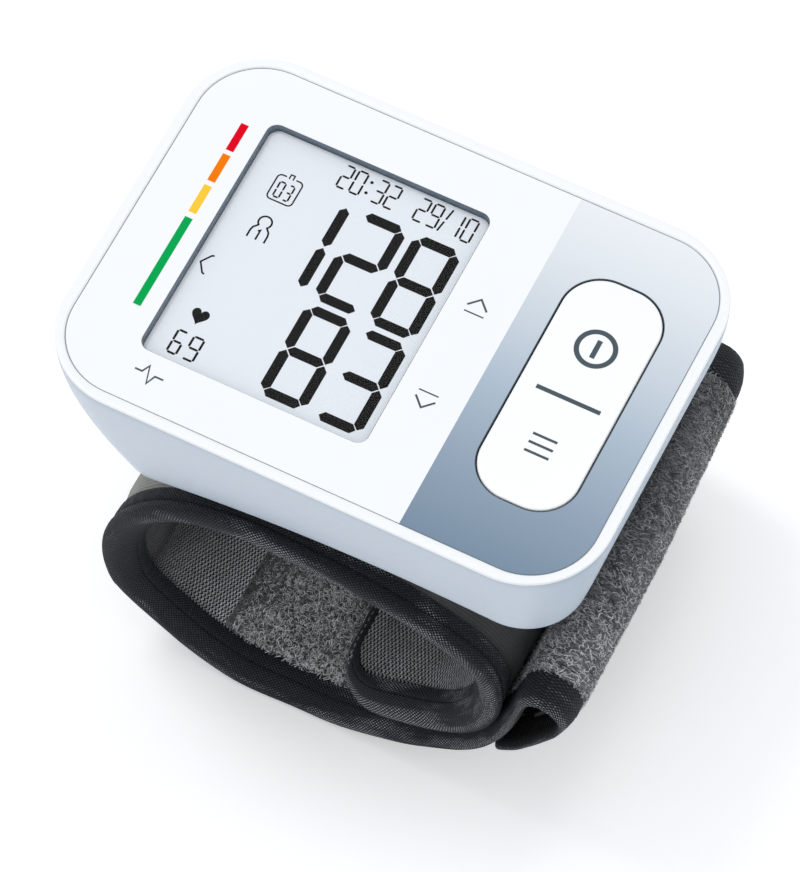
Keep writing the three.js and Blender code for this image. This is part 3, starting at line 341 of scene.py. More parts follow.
def tape_material(name, stitch_lines, crest, shaded_to=0.0):
    """Charcoal woven edging with lines of stitches. Its thread crossings carry a painted glint in
    patches and along the crest of its fold. The leg before shaded_to, which lies on the hooks,
    has painted shade. The cloth attribute's third value makes the painted glint weaker where it is
    below 0."""
    look = Look(name, rgb("#2a2c31"), 0.62, specular=0.07)
    cloth = look.cloth()
    u, v, glint_cut = look.split(cloth)
    height = weave_height(look, u, v, 0.62, 0.58)
    # Painted glint: where it shows, in patches and along the crest, the thread crossings turn pale.
    glint_patches = look.noise(look.scaled(cloth, 0.07, 0.3, 0.2), 1.0, 3.0, 0.6)
    from_crest = look.math("ABSOLUTE", look.math("SUBTRACT", v, crest))
    crest_glint = look.rescale(from_crest, 0.3, 2.6, 0.13, -0.05)
    crest_glint = look.math("ADD", crest_glint, look.math("MULTIPLY", glint_cut, 0.16))
    shown = look.rescale(look.math("ADD", glint_patches, crest_glint), 0.46, 0.64, 0.08, 0.85, smooth=True)
    fine = look.noise(cloth, 2.4, 2.0, 0.7)
    painted_glint = look.math("MULTIPLY", look.rescale(height, 0.1, 0.6, smooth=True),
                      look.rescale(fine, 0.38, 0.62, 0.3, 1.0))
    painted_glint = look.math("MULTIPLY", painted_glint, shown)
    # The dark gaps between threads are deeper where the painted glint shows.
    gap = look.math("MULTIPLY", look.rescale(height, -0.8, -0.1, 0.95, 0.0),
                    look.rescale(shown, 0.1, 1.0, 0.35, 1.0))
    color = look.mix(painted_glint, rgb("#26282d"), rgb("#cfd2d9"))
    color = look.mix(gap, color, rgb("#08090a"))
    for line in stitch_lines:
        away = look.math("ABSOLUTE", look.math("SUBTRACT", v, line))
        near = look.math("LESS_THAN", away, 0.15)
        beat = look.math("FRACT", look.math("DIVIDE", u, STITCH))
        hole = look.math("MULTIPLY", near, look.math("LESS_THAN", beat, 0.14))
        thread = look.math("MULTIPLY", near, look.math("GREATER_THAN", beat, 0.14))
        color = look.mix(look.math("MULTIPLY", thread, 0.35), color, rgb("#202226"))
        color = look.mix(look.math("MULTIPLY", hole, 0.4), color, rgb("#08090a"))
    # Painted shade on the leg before shaded_to, inside the folded tail.
    if shaded_to:
        shade = look.rescale(v, shaded_to - 0.8, shaded_to + 0.8, 0.85, 0.0)
        color = look.mix(shade, color, rgb("#050506"))
    look.set(Base_Color=color)
    look.set(Sheen_Weight=0.03, Sheen_Roughness=0.45)
    look.bump(height, 0.00013, 0.9)
    return look.material


def ribbed_material(name, color, pale, shade_color):
    """Smooth laminated knit with very fine ribs along the band, and painted shade that deepens its
    tone at its start.
    """
    look = Look(name, color, 0.7, specular=0.12)
    cloth = look.cloth()
    u, v, _ = look.split(cloth)
    ribs = look.math("SINE", look.math("MULTIPLY", v, 2 * math.pi / 0.52))
    rows = look.math("SINE", look.math("MULTIPLY", u, 2 * math.pi / 0.36))
    height = look.math("ADD", ribs, look.math("MULTIPLY", rows, 0.6))
    cloud = look.noise(cloth, 0.12, 3.0)
    tone = look.rescale(look.math("ADD", look.math("MULTIPLY", height, 0.4), cloud), -0.25, 1.2)
    cover = look.mix(tone, color, pale)
    # Painted shade: towards the band's start the cover is mixed towards the third colour.
    look.set(Base_Color=look.mix(look.rescale(u, 55.0, 95.0, 0.85, 0.0), cover, shade_color))
    look.set(Sheen_Weight=0.1, Sheen_Roughness=0.4)
    look.bump(height, 0.00003, 0.6)
    return look.material


def mesh_material(name, pale_low, pale_high, shade_starts, shade_full, depth):
    """Spacer knit: columns of small arched stitches with dark holes between. Painted shade
    deepens its tone by depth between two places along the band."""
    dark = rgb("#0d0d0f")
    look = Look(name, rgb("#4c4c4e"), 0.8, specular=0.12)
    cloth = look.cloth()
    u, v, _ = look.split(cloth)
    column = look.math("FRACT", look.math("DIVIDE", v, 0.58))
    arm = look.math("ABSOLUTE", look.math("SUBTRACT", look.math("MULTIPLY", column, 2.0), 1.0))
    slant = look.math("MULTIPLY", arm, 0.24)
    height = weave_height(look, look.math("ADD", u, slant), v, 0.66, 1.16)
    loops = look.rescale(height, -0.3, 0.3, smooth=True)
    fine = look.noise(cloth, 2.2, 2.0)
    broad = look.noise(cloth, 0.11, 2.0)
    pale = look.mix(look.rescale(fine, 0.3, 0.7), pale_low, pale_high)
    pale = look.mix(look.rescale(broad, 0.35, 0.65, 0.3, 0.0), pale, dark)
    # Painted shade: dark mixed in, up to depth, between the two given places along the band.
    pale = look.mix(look.rescale(u, shade_starts, shade_full, 0.0, depth), pale, dark)
    look.set(Base_Color=look.mix(loops, dark, pale))
    look.set(Sheen_Weight=0.15, Sheen_Roughness=0.5)
    look.bump(height, 0.00008, 0.8)
    return look.material


def pile_material(name):
    """Loop pile: short curly fibres, pale tips over a dark ground."""
    look = Look(name, rgb("#4a4b4d"), 0.95, specular=0.08)
    cloth = look.cloth()

    def ridges(scale, distortion):
        level = look.noise(cloth, scale, 2.0, 0.5, distortion)
        away = look.math("ABSOLUTE", look.math("SUBTRACT", level, 0.5))
        return look.rescale(away, 0.0, 0.05, 1.0, 0.0)

    strands = look.math("MAXIMUM", ridges(1.1, 1.2), ridges(1.8, 2.0))
    depth = look.noise(cloth, 0.8, 3.0, 0.7)
    broad = look.noise(cloth, 0.1, 3.0)
    tips = look.math("MULTIPLY", strands, look.rescale(depth, 0.38, 0.6, 0.05, 1.0))
    base = look.mix(look.rescale(broad, 0.35, 0.65), rgb("#252628"), rgb("#5c5d5f"))
    look.set(Base_Color=look.mix(tips, base, rgb("#c9c9c9")))
    look.set(Sheen_Weight=0.3, Sheen_Roughness=0.6)
    look.bump(look.math("ADD", strands, depth), 0.0004, 0.9)
    return look.material


def strand_material(name, stops, shade_near=0.0, shade_fades_at=0.0):
    """Curled fibres of the loop pile, each of one shade. Where the last two arguments are given,
    painted shade makes them dimmer near the first of these places on the band, towards the band's
    back edge, and most beside the housing's wall."""
    look = Look(name, rgb("#8c8c8c"), 0.7, specular=0.1)
    cloth = look.cloth()
    shade = look.noise(look.scaled(cloth, 9.0, 9.0, 3.0), 1.0, 0.0)
    broad = look.noise(cloth, 0.3, 4.0, 0.6)
    mixed = look.math("ADD", look.math("MULTIPLY", shade, 0.5), look.math("MULTIPLY", broad, 0.5))
    color = look.ramp(mixed, [
        (place, rgb(tone)) for place, tone in zip((0.36, 0.46, 0.54, 0.64), stops)
    ])
    if shade_fades_at:
        # Painted shade: dimmer along the band and towards its back edge, with a painted shadow of
        # the housing beside its wall.
        u, v, _ = look.split(cloth)
        strand_shade = look.math("ADD", look.rescale(u, shade_near, shade_fades_at, 0.24, 0.0),
                        look.rescale(v, -14.0, 18.0, 0.0, 0.24))
        wall_shadow = look.math("MULTIPLY", look.rescale(u, shade_near, shade_near + 9.0, 0.6, 0.0),
                                look.rescale(v, -25.0, -6.0, 0.0, 1.0))
        strand_shade = look.math("ADD", strand_shade, wall_shadow)
        strand_shade = look.math("MINIMUM", strand_shade, 0.9)
        color = look.mix(strand_shade, color, rgb("#18191b"))
    look.set(Base_Color=color)
    look.set(Sheen_Weight=0.2, Sheen_Roughness=0.5)
    return look.material


def hook_material(name):
    """Hook tape: rows of fine dark hooks."""
    look = Look(name, rgb("#101113"), 0.6, specular=0.12)
    u, v, _ = look.split(look.cloth())
    height = weave_height(look, u, v, 1.4, 1.3)
    tips = look.rescale(height, 0.3, 0.9)
    look.set(Base_Color=look.mix(tips, rgb("#0b0c0d"), rgb("#26282b")))
    look.bump(height, 0.0003, 1.0)
    return look.material


def clear_material(name, roughness=0.03):
    """Clear window: seen through, with a soft reflection that grows at a slant."""
    look = Look(name, rgb("#ffffff"), roughness)
    look.tree.nodes.remove(look.shader)
    clear = look.node("ShaderNodeBsdfTransparent")
    gloss = look.node("ShaderNodeBsdfGlossy")
    gloss.inputs["Roughness"].default_value = roughness
    slant = look.node("ShaderNodeLayerWeight")
    slant.inputs["Blend"].default_value = 0.5
    front = look.math("SUBTRACT", 1.0, look.node("ShaderNodeNewGeometry").outputs["Backfacing"])
    share = look.math("MULTIPLY", look.math("POWER", slant.outputs["Facing"], 4.0), 0.5)
    share = look.math("MULTIPLY", look.math("ADD", share, 0.012), front)
    blend = look.node("ShaderNodeMixShader")
    look.put(blend.inputs[0], share)
    look.put(blend.inputs[1], clear.outputs[0])
    look.put(blend.inputs[2], gloss.outputs[0])
    output = look.tree.nodes["Material Output"]
    look.put(output.inputs["Surface"], blend.outputs[0])
    return look.material


def face_material(name):
    """White printed plate with a blue-grey panel that deepens towards its lower edge."""
    look = Look(name, rgb("#f9fafb"), 0.32, specular=0.2)
    place = look.place()
    x, y, _ = look.split(place)
    down = look.rescale(y, 0.0285, -0.0285)
    shade = look.ramp(down, [
        (0.0, rgb("#eef1f4")), (0.15, rgb("#e4e9ed")), (0.36, rgb("#cdd6df")),
        (0.57, rgb("#acbccb")), (0.78, rgb("#92a3b5")), (1.0, rgb("#788da1")),
    ])
    panel = look.math("GREATER_THAN", x, 0.01525)
    white = look.mix(look.noise(place, 60.0, 2.0), rgb("#f8f9fa"), rgb("#fbfcfd"))
    look.set(Base_Color=look.mix(panel, white, shade))
    look.set(Roughness=look.rescale(look.noise(place, 800.0, 4.0), 0.3, 0.7, 0.28, 0.38))
    look.bump(look.noise(place, 1500.0, 2.0), 0.000004, 0.3)
    return look.material


def print_material(name, color, roughness=0.4):
    """Printed ink with a faint unevenness."""
    look = Look(name, rgb(color), roughness, specular=0.03)
    place = look.place()
    ink = rgb(color)
    thin = tuple(min(1.0, c * 1.06 + 0.002) for c in ink[:3]) + (1.0,)
    look.set(Base_Color=look.mix(look.noise(place, 500.0, 3.0), ink, thin))
    return look.material


def bezel_material(name):
    """Blue-grey window frame, with a painted contact shadow at its foot."""
    look = Look(name, rgb("#64727f"), 0.4, specular=0.3)
    place = look.place()
    height = look.split(place)[2]
    # Painted contact shadow at the frame's foot.
    foot = look.rescale(height, 0.0703, 0.0711, 1.0, 0.0)
    tone = look.mix(look.noise(place, 60.0, 3.0), rgb("#64727f"), rgb("#6d7b88"))
    look.set(Base_Color=look.mix(foot, tone, rgb("#3a4551")))
    look.bump(look.noise(place, 2600.0, 2.0), 0.00002, 0.5)
    return look.material


white_case = plastic("white_case", rgb("#f9fafb"), 0.32)
# The groove between rim and plate is grey as painted shade in it.
groove_shade_grey = plastic("groove_shade_grey", rgb("#8f989f"), 0.45)
blue_case = tub_material("blue_case")
key_white = plastic("key_white", rgb("#fefefe"), 0.34)
bezel_grey = bezel_material("bezel_grey")
slate_line = print_material("slate_line", "#4f5b61")
face_print = face_material("face_print")
display_field = plastic("display_field", rgb("#eaeef4"), 0.6, tone=0.015)
display_ink = print_material("display_ink", "#141414", 0.45)
lens_clear = clear_material("lens_clear")
cover_ribbed = ribbed_material("cover_ribbed", rgb("#6f6e6b"), rgb("#a6a49f"), rgb("#2b2c2f"))
pile_loops = pile_material("pile_loops")
inner_strands = strand_material("inner_strands", ("#3a3b3d", "#b4b4b5", "#ffffff", "#ffffff"))
hook_rows = hook_material("hook_rows")


# Camera, light and floor

scene = bpy.context.scene
scene.view_settings.view_transform = "Standard"

camera_data = bpy.data.cameras.new("camera")
camera_data.lens = 206.4
camera_data.sensor_width = 36.0
camera_data.clip_start = 0.05
camera = bpy.data.objects.new("camera", camera_data)
camera.matrix_world = Matrix((
    (0.8934, -0.3978, 0.2089, 0.1521),
    (0.4493, 0.7910, -0.4153, -0.3003),
    (0.0, 0.4649, 0.8854, 0.6768),
    (0.0, 0.0, 0.0, 1.0),
))
scene.collection.objects.link(camera)
scene.camera = camera

world = bpy.data.worlds.new("studio")
world.use_nodes = True
world_tree = world.node_tree
world_tree.nodes.clear()
seen = world_tree.nodes.new("ShaderNodeBackground")
seen.inputs["Color"].default_value = (1, 1, 1, 1)
seen.inputs["Strength"].default_value = 1.0
fill = world_tree.nodes.new("ShaderNodeBackground")
fill.inputs["Color"].default_value = rgb("#f4f7fb")
fill.inputs["Strength"].default_value = 0.76
rays = world_tree.nodes.new("ShaderNodeLightPath")
direct = rays.outputs["Is Camera Ray"]
for kind in ("Is Glossy Ray", "Is Transmission Ray"):
    either = world_tree.nodes.new("ShaderNodeMath")
    either.operation = "MAXIMUM"
    world_tree.links.new(direct, either.inputs[0])
    world_tree.links.new(rays.outputs[kind], either.inputs[1])
    direct = either.outputs[0]
shown_world = world_tree.nodes.new("ShaderNodeMixShader")
world_tree.links.new(direct, shown_world.inputs[0])
world_tree.links.new(fill.outputs[0], shown_world.inputs[1])
world_tree.links.new(seen.outputs[0], shown_world.inputs[2])
world_output = world_tree.nodes.new("ShaderNodeOutputWorld")
world_tree.links.new(shown_world.outputs[0], world_output.inputs["Surface"])
scene.world = world


def area_lamp(name, place, size, watts, target=(0.0, 0.0, 0.04)):
    data = bpy.data.lights.new(name, "AREA")
    data.shape = "DISK"
    data.size = size
    data.energy = watts
    lamp = bpy.data.objects.new(name, data)
    lamp.location = place
    aim = Vector(target) - Vector(place)
    lamp.rotation_euler = aim.to_track_quat("-Z", "Y").to_euler()
    scene.collection.objects.link(lamp)


area_lamp("key_lamp", (-0.6, 0.1, 1.4), 0.45, 4.3)
area_lamp("back_lamp", (0.06, 0.5, 1.45), 0.4, 1.9)
area_lamp("front_lamp", (-0.2, -1.0, 1.0), 0.6, 0.8)

floor_look = Look("floor_white", rgb("#ffffff"), 0.9, specular=0.1)
glow = floor_look.node("ShaderNodeEmission")
paths = floor_look.node("ShaderNodeLightPath")
eyes = floor_look.math("MAXIMUM", paths.outputs["Is Camera Ray"],
                       floor_look.math("MAXIMUM", paths.outputs["Is Glossy Ray"],
                                       paths.outputs["Is Transmission Ray"]))
floor_look.put(glow.inputs["Strength"], floor_look.math("MULTIPLY", eyes, 0.25))
sum_shader = floor_look.node("ShaderNodeAddShader")
floor_look.put(sum_shader.inputs[0], floor_look.shader.outputs[0])
floor_look.put(sum_shader.inputs[1], glow.outputs[0])
floor_look.put(floor_look.tree.nodes["Material Output"].inputs["Surface"], sum_shader.outputs[0])
floor = new_mesh(
    "floor",
    [(-3000, -3000, -0.3), (3000, -3000, -0.3), (3000, 3000, -0.3), (-3000, 3000, -0.3)],
    [(0, 1, 2, 3)], [floor_look.material],
)


# Housing shapes

CORNER_STEPS = 18
LONG_STEPS = 16
SHORT_STEPS = 10


def rounded_loop(x0, x1, y0, y1, radius, corner=CORNER_STEPS, long=LONG_STEPS, short=SHORT_STEPS):
    """Rounded rectangle as points, with the same count whatever its size."""
    corners = [
        (x1 - radius, y0 + radius, -90), (x1 - radius, y1 - radius, 0),
        (x0 + radius, y1 - radius, 90), (x0 + radius, y0 + radius, 180),
    ]
    arcs = []
    for cx, cy, start in corners:
        angles = np.radians(start + 90 * np.arange(corner + 1) / corner)
        arcs.append(np.stack([cx + radius * np.cos(angles), cy + radius * np.sin(angles)], 1))
    points = []
    for i, arc in enumerate(arcs):
        points.append(arc)
        steps = short if i % 2 == 0 else long
        nearer = np.arange(1, steps)[:, None] / steps
        following = arcs[(i + 1) % 4][0]
        points.append(arc[-1] * (1 - nearer) + following * nearer)
    return np.concatenate(points)


def housing_loop(depth, inset=0.0):
    share = max(depth, 0.0) / TUB_DEPTH
    sides = SIDE_INSET * share**SIDE_POWER + inset
    left = LEFT_INSET * share**LEFT_POWER + inset
    right = RIGHT_INSET * share**SIDE_POWER + inset
    radius = RIM_RADIUS + (TUB_RADIUS - RIM_RADIUS) * min(share, 1.0) - inset
    return rounded_loop(-HALF_X + left, HALF_X - right, -HALF_Y + sides, HALF_Y - sides, radius)


def arch_depth(x):
    return ARCH_DEPTH + ARCH_RADIUS - np.sqrt(ARCH_RADIUS**2 - (x - ARCH_X) ** 2)


def at_depth(loop, depth):
    """Points of a loop at a depth, or at one depth for each point."""
    heights = np.full(len(loop), RIM_TOP) - depth
    return np.column_stack([loop, heights])


def tub_body():
    """The lower case's outer skin: tapered wall, rounded lower edge and arched underside."""
    count = len(housing_loop(0))
    depths = np.full(count, 18.0)
    for _ in range(12):
        places = np.array([housing_loop(d)[i] for i, d in enumerate(depths)])
        depths = arch_depth(places[:, 0])
    edge = 1.1

    def wall(depth_per_point):
        loops = {}
        rows = np.empty((count, 2))
        for i, d in enumerate(depth_per_point):
            key = round(float(d), 4)
            if key not in loops:
                loops[key] = housing_loop(key)
            rows[i] = loops[key][i]
        return rows

    rings = []
    inner_top = housing_loop(SEAM, 1.5)
    rings.append(at_depth(inner_top, SEAM + 3.0))
    rings.append(at_depth(inner_top, SEAM))
    rings.append(at_depth(housing_loop(SEAM, 0.35), SEAM))
    rings.append(at_depth(housing_loop(SEAM, 0.12), SEAM + 0.08))
    rings.append(at_depth(housing_loop(SEAM, 0.0), SEAM + 0.3))
    steps = 16
    low = depths - edge
    for k in range(1, steps + 1):
        d = SEAM + 0.3 + (low - SEAM - 0.3) * k / steps
        rings.append(np.column_stack([wall(d), RIM_TOP - d]))
    start = rings[-1]
    corner = np.column_stack([wall(depths), RIM_TOP - depths])
    ahead = np.roll(corner[:, :2], -1, 0) - np.roll(corner[:, :2], 1, 0)
    normal = np.stack([-ahead[:, 1], ahead[:, 0]], 1)
    normal /= np.linalg.norm(normal, axis=1)[:, None]
    end_xy = corner[:, :2] + normal * edge
    end = np.column_stack([end_xy, RIM_TOP - arch_depth(end_xy[:, 0])])
    for k in range(1, 6):
        t = k / 5
        rings.append(start * (1 - t) ** 2 + corner * 2 * t * (1 - t) + end * t**2)
    centre = np.array([2.0, 0.0])
    for k in (0.9, 0.8, 0.65, 0.5, 0.35, 0.2, 0.08):
        loop = centre + (end_xy - centre) * k
        rings.append(np.column_stack([loop, RIM_TOP - arch_depth(loop[:, 0])]))
    return rings


def screw_places():
    return [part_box("case_screw_%d" % i) for i in (1, 2, 3, 4)]


def cutter_cylinder(x, y, z0, z1, radius):
    angles = np.arange(32) * 2 * math.pi / 32
    loop = np.stack([x + radius * np.cos(angles), y + radius * np.sin(angles)], 1)
    rings = [np.column_stack([loop, np.full(32, z)]) for z in (z0, z1)]
    return rings_object("cutter", rings, [blue_case])


def subtract(body, cutter):
    change = body.modifiers.new("cut", "BOOLEAN")
    change.operation = "DIFFERENCE"
    change.solver = "EXACT"
    change.object = cutter
    graph = bpy.context.evaluated_depsgraph_get()
    made = bpy.data.meshes.new_from_object(body.evaluated_get(graph))
    body.modifiers.clear()
    body.data = made
    bpy.data.objects.remove(cutter)


lower = rings_object("lower_case_shell", tub_body(), [blue_case], cap_start=False)
for low_corner, high_corner in screw_places():
    mid = (np.array(low_corner) + np.array(high_corner)) / 2 / MM
    bottom = low_corner[2] / MM
    subtract(lower, cutter_cylinder(mid[0], mid[1], bottom - 4, bottom + 1.3, 1.9))
cover_low, cover_high = (np.array(c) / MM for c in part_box("battery_cover"))
gap_line = 0.16


def cover_window(grow, x_to):
    """Block that holds the battery cover's part of the left wall."""
    xs = (-HALF_X - 2, x_to)
    ys = (cover_low[1] - grow, cover_high[1] + grow)
    zs = (cover_low[2] - grow, cover_high[2] + grow)
    loop = np.array([(xs[0], ys[0]), (xs[1], ys[0]), (xs[1], ys[1]), (xs[0], ys[1])])
    return rings_object("cutter", [np.column_stack([loop, np.full(4, z)]) for z in zs], [blue_case])


def battery_cover_shell():
    """The same wall, cut to the cover's window, with a thumb grip of short ribs."""
    rows = 22
    columns = 34
    zs = np.linspace(cover_low[2], cover_high[2], rows)
    ys = np.linspace(cover_low[1], cover_high[1], columns)

    def wall_x(y, z):
        loop = housing_loop(RIM_TOP - z)
        left = loop[loop[:, 0] < 0]
        order = np.argsort(left[:, 1])
        return float(np.interp(y, left[order][:, 1], left[order][:, 0]))

    outer = []
    for z in zs:
        for y in ys:
            x = wall_x(y, z)
            share_y = abs(y) / cover_high[1]
            share_z = (z - cover_low[2]) / (cover_high[2] - cover_low[2])
            edge = min(1 - share_y, 0.06) / 0.06
            x += 0.12 * (1 - edge)
            if abs(y) < 9 and 0.55 < share_z < 0.86:
                x -= 0.22 * max(0.0, math.sin((share_z - 0.55) / 0.31 * math.pi * 5)) ** 2
            outer.append((x, y, z))
    outer = np.array(outer)
    inner = outer.copy()
    inner[:, 0] += 1.4
    points = np.concatenate([outer, inner])
    faces = []
    offset = rows * columns
    for r in range(rows - 1):
        for c in range(columns - 1):
            a = r * columns + c
            faces.append((a, a + 1, a + columns + 1, a + columns))
            faces.append((offset + a, offset + a + columns,
                          offset + a + columns + 1, offset + a + 1))
    border = [c for c in range(columns)]
    border += [r * columns + columns - 1 for r in range(1, rows)]
    border += [(rows - 1) * columns + c for c in range(columns - 2, -1, -1)]
    border += [r * columns for r in range(rows - 2, 0, -1)]
    for a, b in zip(border, border[1:] + border[:1]):
        faces.append((a, b, offset + b, offset + a))
    return new_mesh("battery_cover_shell", points, faces, [blue_case])


subtract(lower, cover_window(gap_line, -34.0))
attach(lower, "housing")
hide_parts("lower_case")
cover = battery_cover_shell()
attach(cover, "battery_cover")
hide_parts("battery_cover")


def rim_body():
    """Upper case: rounded rim with a soft crown, down to the seam, and a wall at the plate."""
    outer = housing_loop(0.0)
    inner = rounded_loop(-40.3, 40.3, -28.6, 28.6, 10.1)
    width = 1.7

    def between(share):
        return outer + (inner - outer) * share

    rings = [at_depth(housing_loop(SEAM, 1.6), SEAM - 0.05)]
    rings.append(at_depth(housing_loop(SEAM - 0.06, 0.1), SEAM - 0.06))
    rings.append(at_depth(housing_loop(0.0, 0.0), SEAM - 0.1))
    radius = 0.22
    for k in range(7):
        angle = math.pi / 2 * k / 6
        rings.append(at_depth(between(radius * (1 - math.cos(angle)) / width),
                              radius * (1 - math.sin(angle))))
    for share, depth in ((0.5, 0.0), (0.8, 0.03), (0.93, 0.1), (1.0, 0.24)):
        rings.append(at_depth(between(share), depth))
    rings.append(at_depth(inner, 1.2))
    return rings


rim = rings_object("rim", rim_body(), [white_case], cap_start=False, cap_end=False)
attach(rim, "housing")
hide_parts("upper_case")


# Face: printed plate, sunken window, rocker key

window_low, window_high = (np.array(c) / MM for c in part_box("window_lens"))
WINDOW = (window_low[0] - 0.3, window_high[0] + 0.3, window_low[1] - 0.3, window_high[1] + 0.3)
key_low, key_high = (np.array(c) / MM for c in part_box("rocker_key"))
KEY_X = (key_low[0] + key_high[0]) / 2
KEY_Y = (key_low[1] + key_high[1]) / 2
KEY_HALF_X = (key_high[0] - key_low[0]) / 2
KEY_HALF_Y = (key_high[1] - key_low[1]) / 2


def window_loop(grow):
    return rounded_loop(WINDOW[0] - grow, WINDOW[1] + grow, WINDOW[2] - grow, WINDOW[3] + grow,
                        1.7 + grow, 10, 1, 1)


def key_loop(grow):
    radius = 5.9 + grow
    return rounded_loop(KEY_X - KEY_HALF_X - grow, KEY_X + KEY_HALF_X + grow,
                        KEY_Y - KEY_HALF_Y - grow, KEY_Y + KEY_HALF_Y + grow, radius, 16, 4, 6)


def plate_body():
    """The face plate: a flat sheet with its window and key openings, and their walls."""
    loops = [
        rounded_loop(*PLATE_OUTLINE),
        window_loop(0.0),
        key_loop(0.3),
    ]
    flat = np.concatenate(loops)
    triangles = tessellate_polygon([[Vector((x, y, 0)) for x, y in loop] for loop in loops])
    count = len(flat)
    top = at_depth(flat, PLATE_DEPTH)
    bottom = at_depth(flat, PLATE_DEPTH + PLATE_THICKNESS)
    faces = [tuple(t) for t in triangles]
    faces += [tuple(count + i for i in t) for t in triangles]
    start = 0
    for loop in loops:
        for i in range(len(loop)):
            a = start + i
            b = start + (i + 1) % len(loop)
            faces.append((a, b, b + count, a + count))
        start += len(loop)
    return new_mesh("face_sheet", np.concatenate([top, bottom]), faces, [face_print])


plate = plate_body()
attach(plate, "housing")
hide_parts("face_plate")


def ring_wall(name, loops_and_depths, material):
    """An open band of wall through loops at given depths, closed on itself."""
    rings = [at_depth(loop, depth) for loop, depth in loops_and_depths]
    count = len(rings[0])
    faces = grid_faces(len(rings) + 1, count)
    faces = [tuple(i % (len(rings) * count) for i in f) for f in faces]
    made = new_mesh(name, np.concatenate(rings), faces, [material])
    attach(made, "housing")
    return made


def bezel_loop(left, back):
    return rounded_loop(WINDOW[0] + left, WINDOW[1] - 0.1, WINDOW[2] + 0.1, WINDOW[3] - back,
                        1.6, 10, 1, 1)


bezel = ring_wall("window_bezel", [
    (window_loop(-0.02), PLATE_DEPTH + 0.05), (bezel_loop(0.12, 0.06), PLATE_DEPTH + 0.15),
    (bezel_loop(0.26, 0.08), GLASS_DEPTH - 0.02), (window_loop(-0.02), GLASS_DEPTH - 0.02),
], bezel_grey)
# A grey ring in the gap between rim and plate: painted shade.
groove = ring_wall("plate_groove", [
    (rounded_loop(*GROOVE_OUTER), GROOVE_TOP), (rounded_loop(*GROOVE_INNER), GROOVE_TOP),
    (rounded_loop(*GROOVE_INNER), GROOVE_BOTTOM), (rounded_loop(*GROOVE_OUTER), GROOVE_BOTTOM),
], groove_shade_grey)
# The surround's inner side stays clear of the key, which moves sideways a little as it rocks
SURROUND_OUTER, SURROUND_INNER, SURROUND_DEPTH = 0.29, 0.19, 1.2
key_line = ring_wall("key_surround", [
    (key_loop(SURROUND_OUTER), PLATE_DEPTH + 0.02), (key_loop(SURROUND_INNER), PLATE_DEPTH + 0.05),
    (key_loop(SURROUND_INNER), PLATE_DEPTH + SURROUND_DEPTH),
    (key_loop(SURROUND_OUTER), PLATE_DEPTH + SURROUND_DEPTH),
], slate_line)
for glass_name, material in (("window_lens", lens_clear), ("display_glass", display_field)):
    for slot_index in range(len(nodes[glass_name].material_slots)):
        nodes[glass_name].material_slots[slot_index].link = "OBJECT"
        nodes[glass_name].material_slots[slot_index].material = material


def key_body():
    rings = []
    bottom = RIM_TOP - (key_high[2] - 2.4)
    top = RIM_TOP - key_high[2]
    rings.append(at_depth(key_loop(-0.1), bottom))
    rings.append(at_depth(key_loop(0.0), bottom - 0.1))
    radius = 0.3
    for k in range(6):
        angle = math.pi / 2 * k / 5
        rings.append(at_depth(key_loop(-radius * (1 - math.cos(angle))),
                              top + radius * (1 - math.sin(angle))))
    edge = key_loop(-radius)
    centre = np.array([KEY_X, KEY_Y])
    for k in (0.85, 0.6, 0.3, 0.05):
        rings.append(at_depth(centre + (edge - centre) * k, top))
    return rings


key = rings_object("rocker_key_cap", key_body(), [key_white])
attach(key, "rocker")
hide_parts("rocker_key")


# Printed marks: thin flat shapes a hair above what they are printed on

def stroke_shape(points, width, closed=False):
    """Outline of a line of one width: quads between its two sides."""
    path = np.asarray(points, dtype=float)
    ahead = np.roll(path, -1, 0) - path
    behind = path - np.roll(path, 1, 0)
    if not closed:
        ahead[-1] = behind[-1]
        behind[0] = ahead[0]
    ahead /= np.linalg.norm(ahead, axis=1)[:, None]
    behind /= np.linalg.norm(behind, axis=1)[:, None]
    tangent = ahead + behind
    tangent /= np.linalg.norm(tangent, axis=1)[:, None]
    stretch = 1 / np.clip((tangent * ahead).sum(1), 0.5, 1)
    side = np.stack([-tangent[:, 1], tangent[:, 0]], 1) * (width / 2 * stretch)[:, None]
    count = len(path)
    sides = np.concatenate([path + side, path - side])
    faces = []
    for i in range(count if closed else count - 1):
        j = (i + 1) % count
        faces.append((i, j, count + j, count + i))
    return sides, faces


def circle_points(x, y, radius, start=0, end=360, steps=48):
    angles = np.radians(np.linspace(start, end, steps + 1))
    return np.stack([x + radius * np.cos(angles), y + radius * np.sin(angles)], 1)


class Print:
    """Gathers flat shapes that become one thin piece."""

    def __init__(self):
        self.points = []
        self.faces = []

    def fill(self, outline):
        start = len(self.points)
        self.points += [tuple(p) for p in outline]
        self.faces.append(tuple(range(start, start + len(outline))))

    def stroke(self, points, width, closed=False):
        sides, faces = stroke_shape(points, width, closed)
        start = len(self.points)
        self.points += [tuple(p) for p in sides]
        self.faces += [tuple(start + i for i in f) for f in faces]

    def box(self, x0, x1, y0, y1):
        self.fill([(x0, y0), (x1, y0), (x1, y1), (x0, y1)])

    def make(self, name, height, material, body="housing", thick=0.012):
        flat = np.array(self.points)
        count = len(flat)
        top = np.column_stack([flat, np.full(count, height)])
        bottom = top - (0, 0, thick)
        faces = list(self.faces)
        faces += [tuple(count + i for i in f) for f in self.faces]
        edges = {}
        for f in self.faces:
            for a, b in zip(f, f[1:] + f[:1]):
                edges[(a, b)] = edges.get((a, b), 0) + 1
        for a, b in list(edges):
            if (b, a) not in edges:
                faces.append((a, b, count + b, count + a))
        made = new_mesh(name, np.concatenate([top, bottom]), faces, [material], smooth=False)
        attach(made, body)
        return made


SEGMENTS = {
    "0": "abcdef", "1": "bc", "2": "abged", "3": "abgcd", "4": "fgbc", "5": "afgcd",
    "6": "afgecd", "7": "abc", "8": "abcdefg", "9": "abcdfg",
}


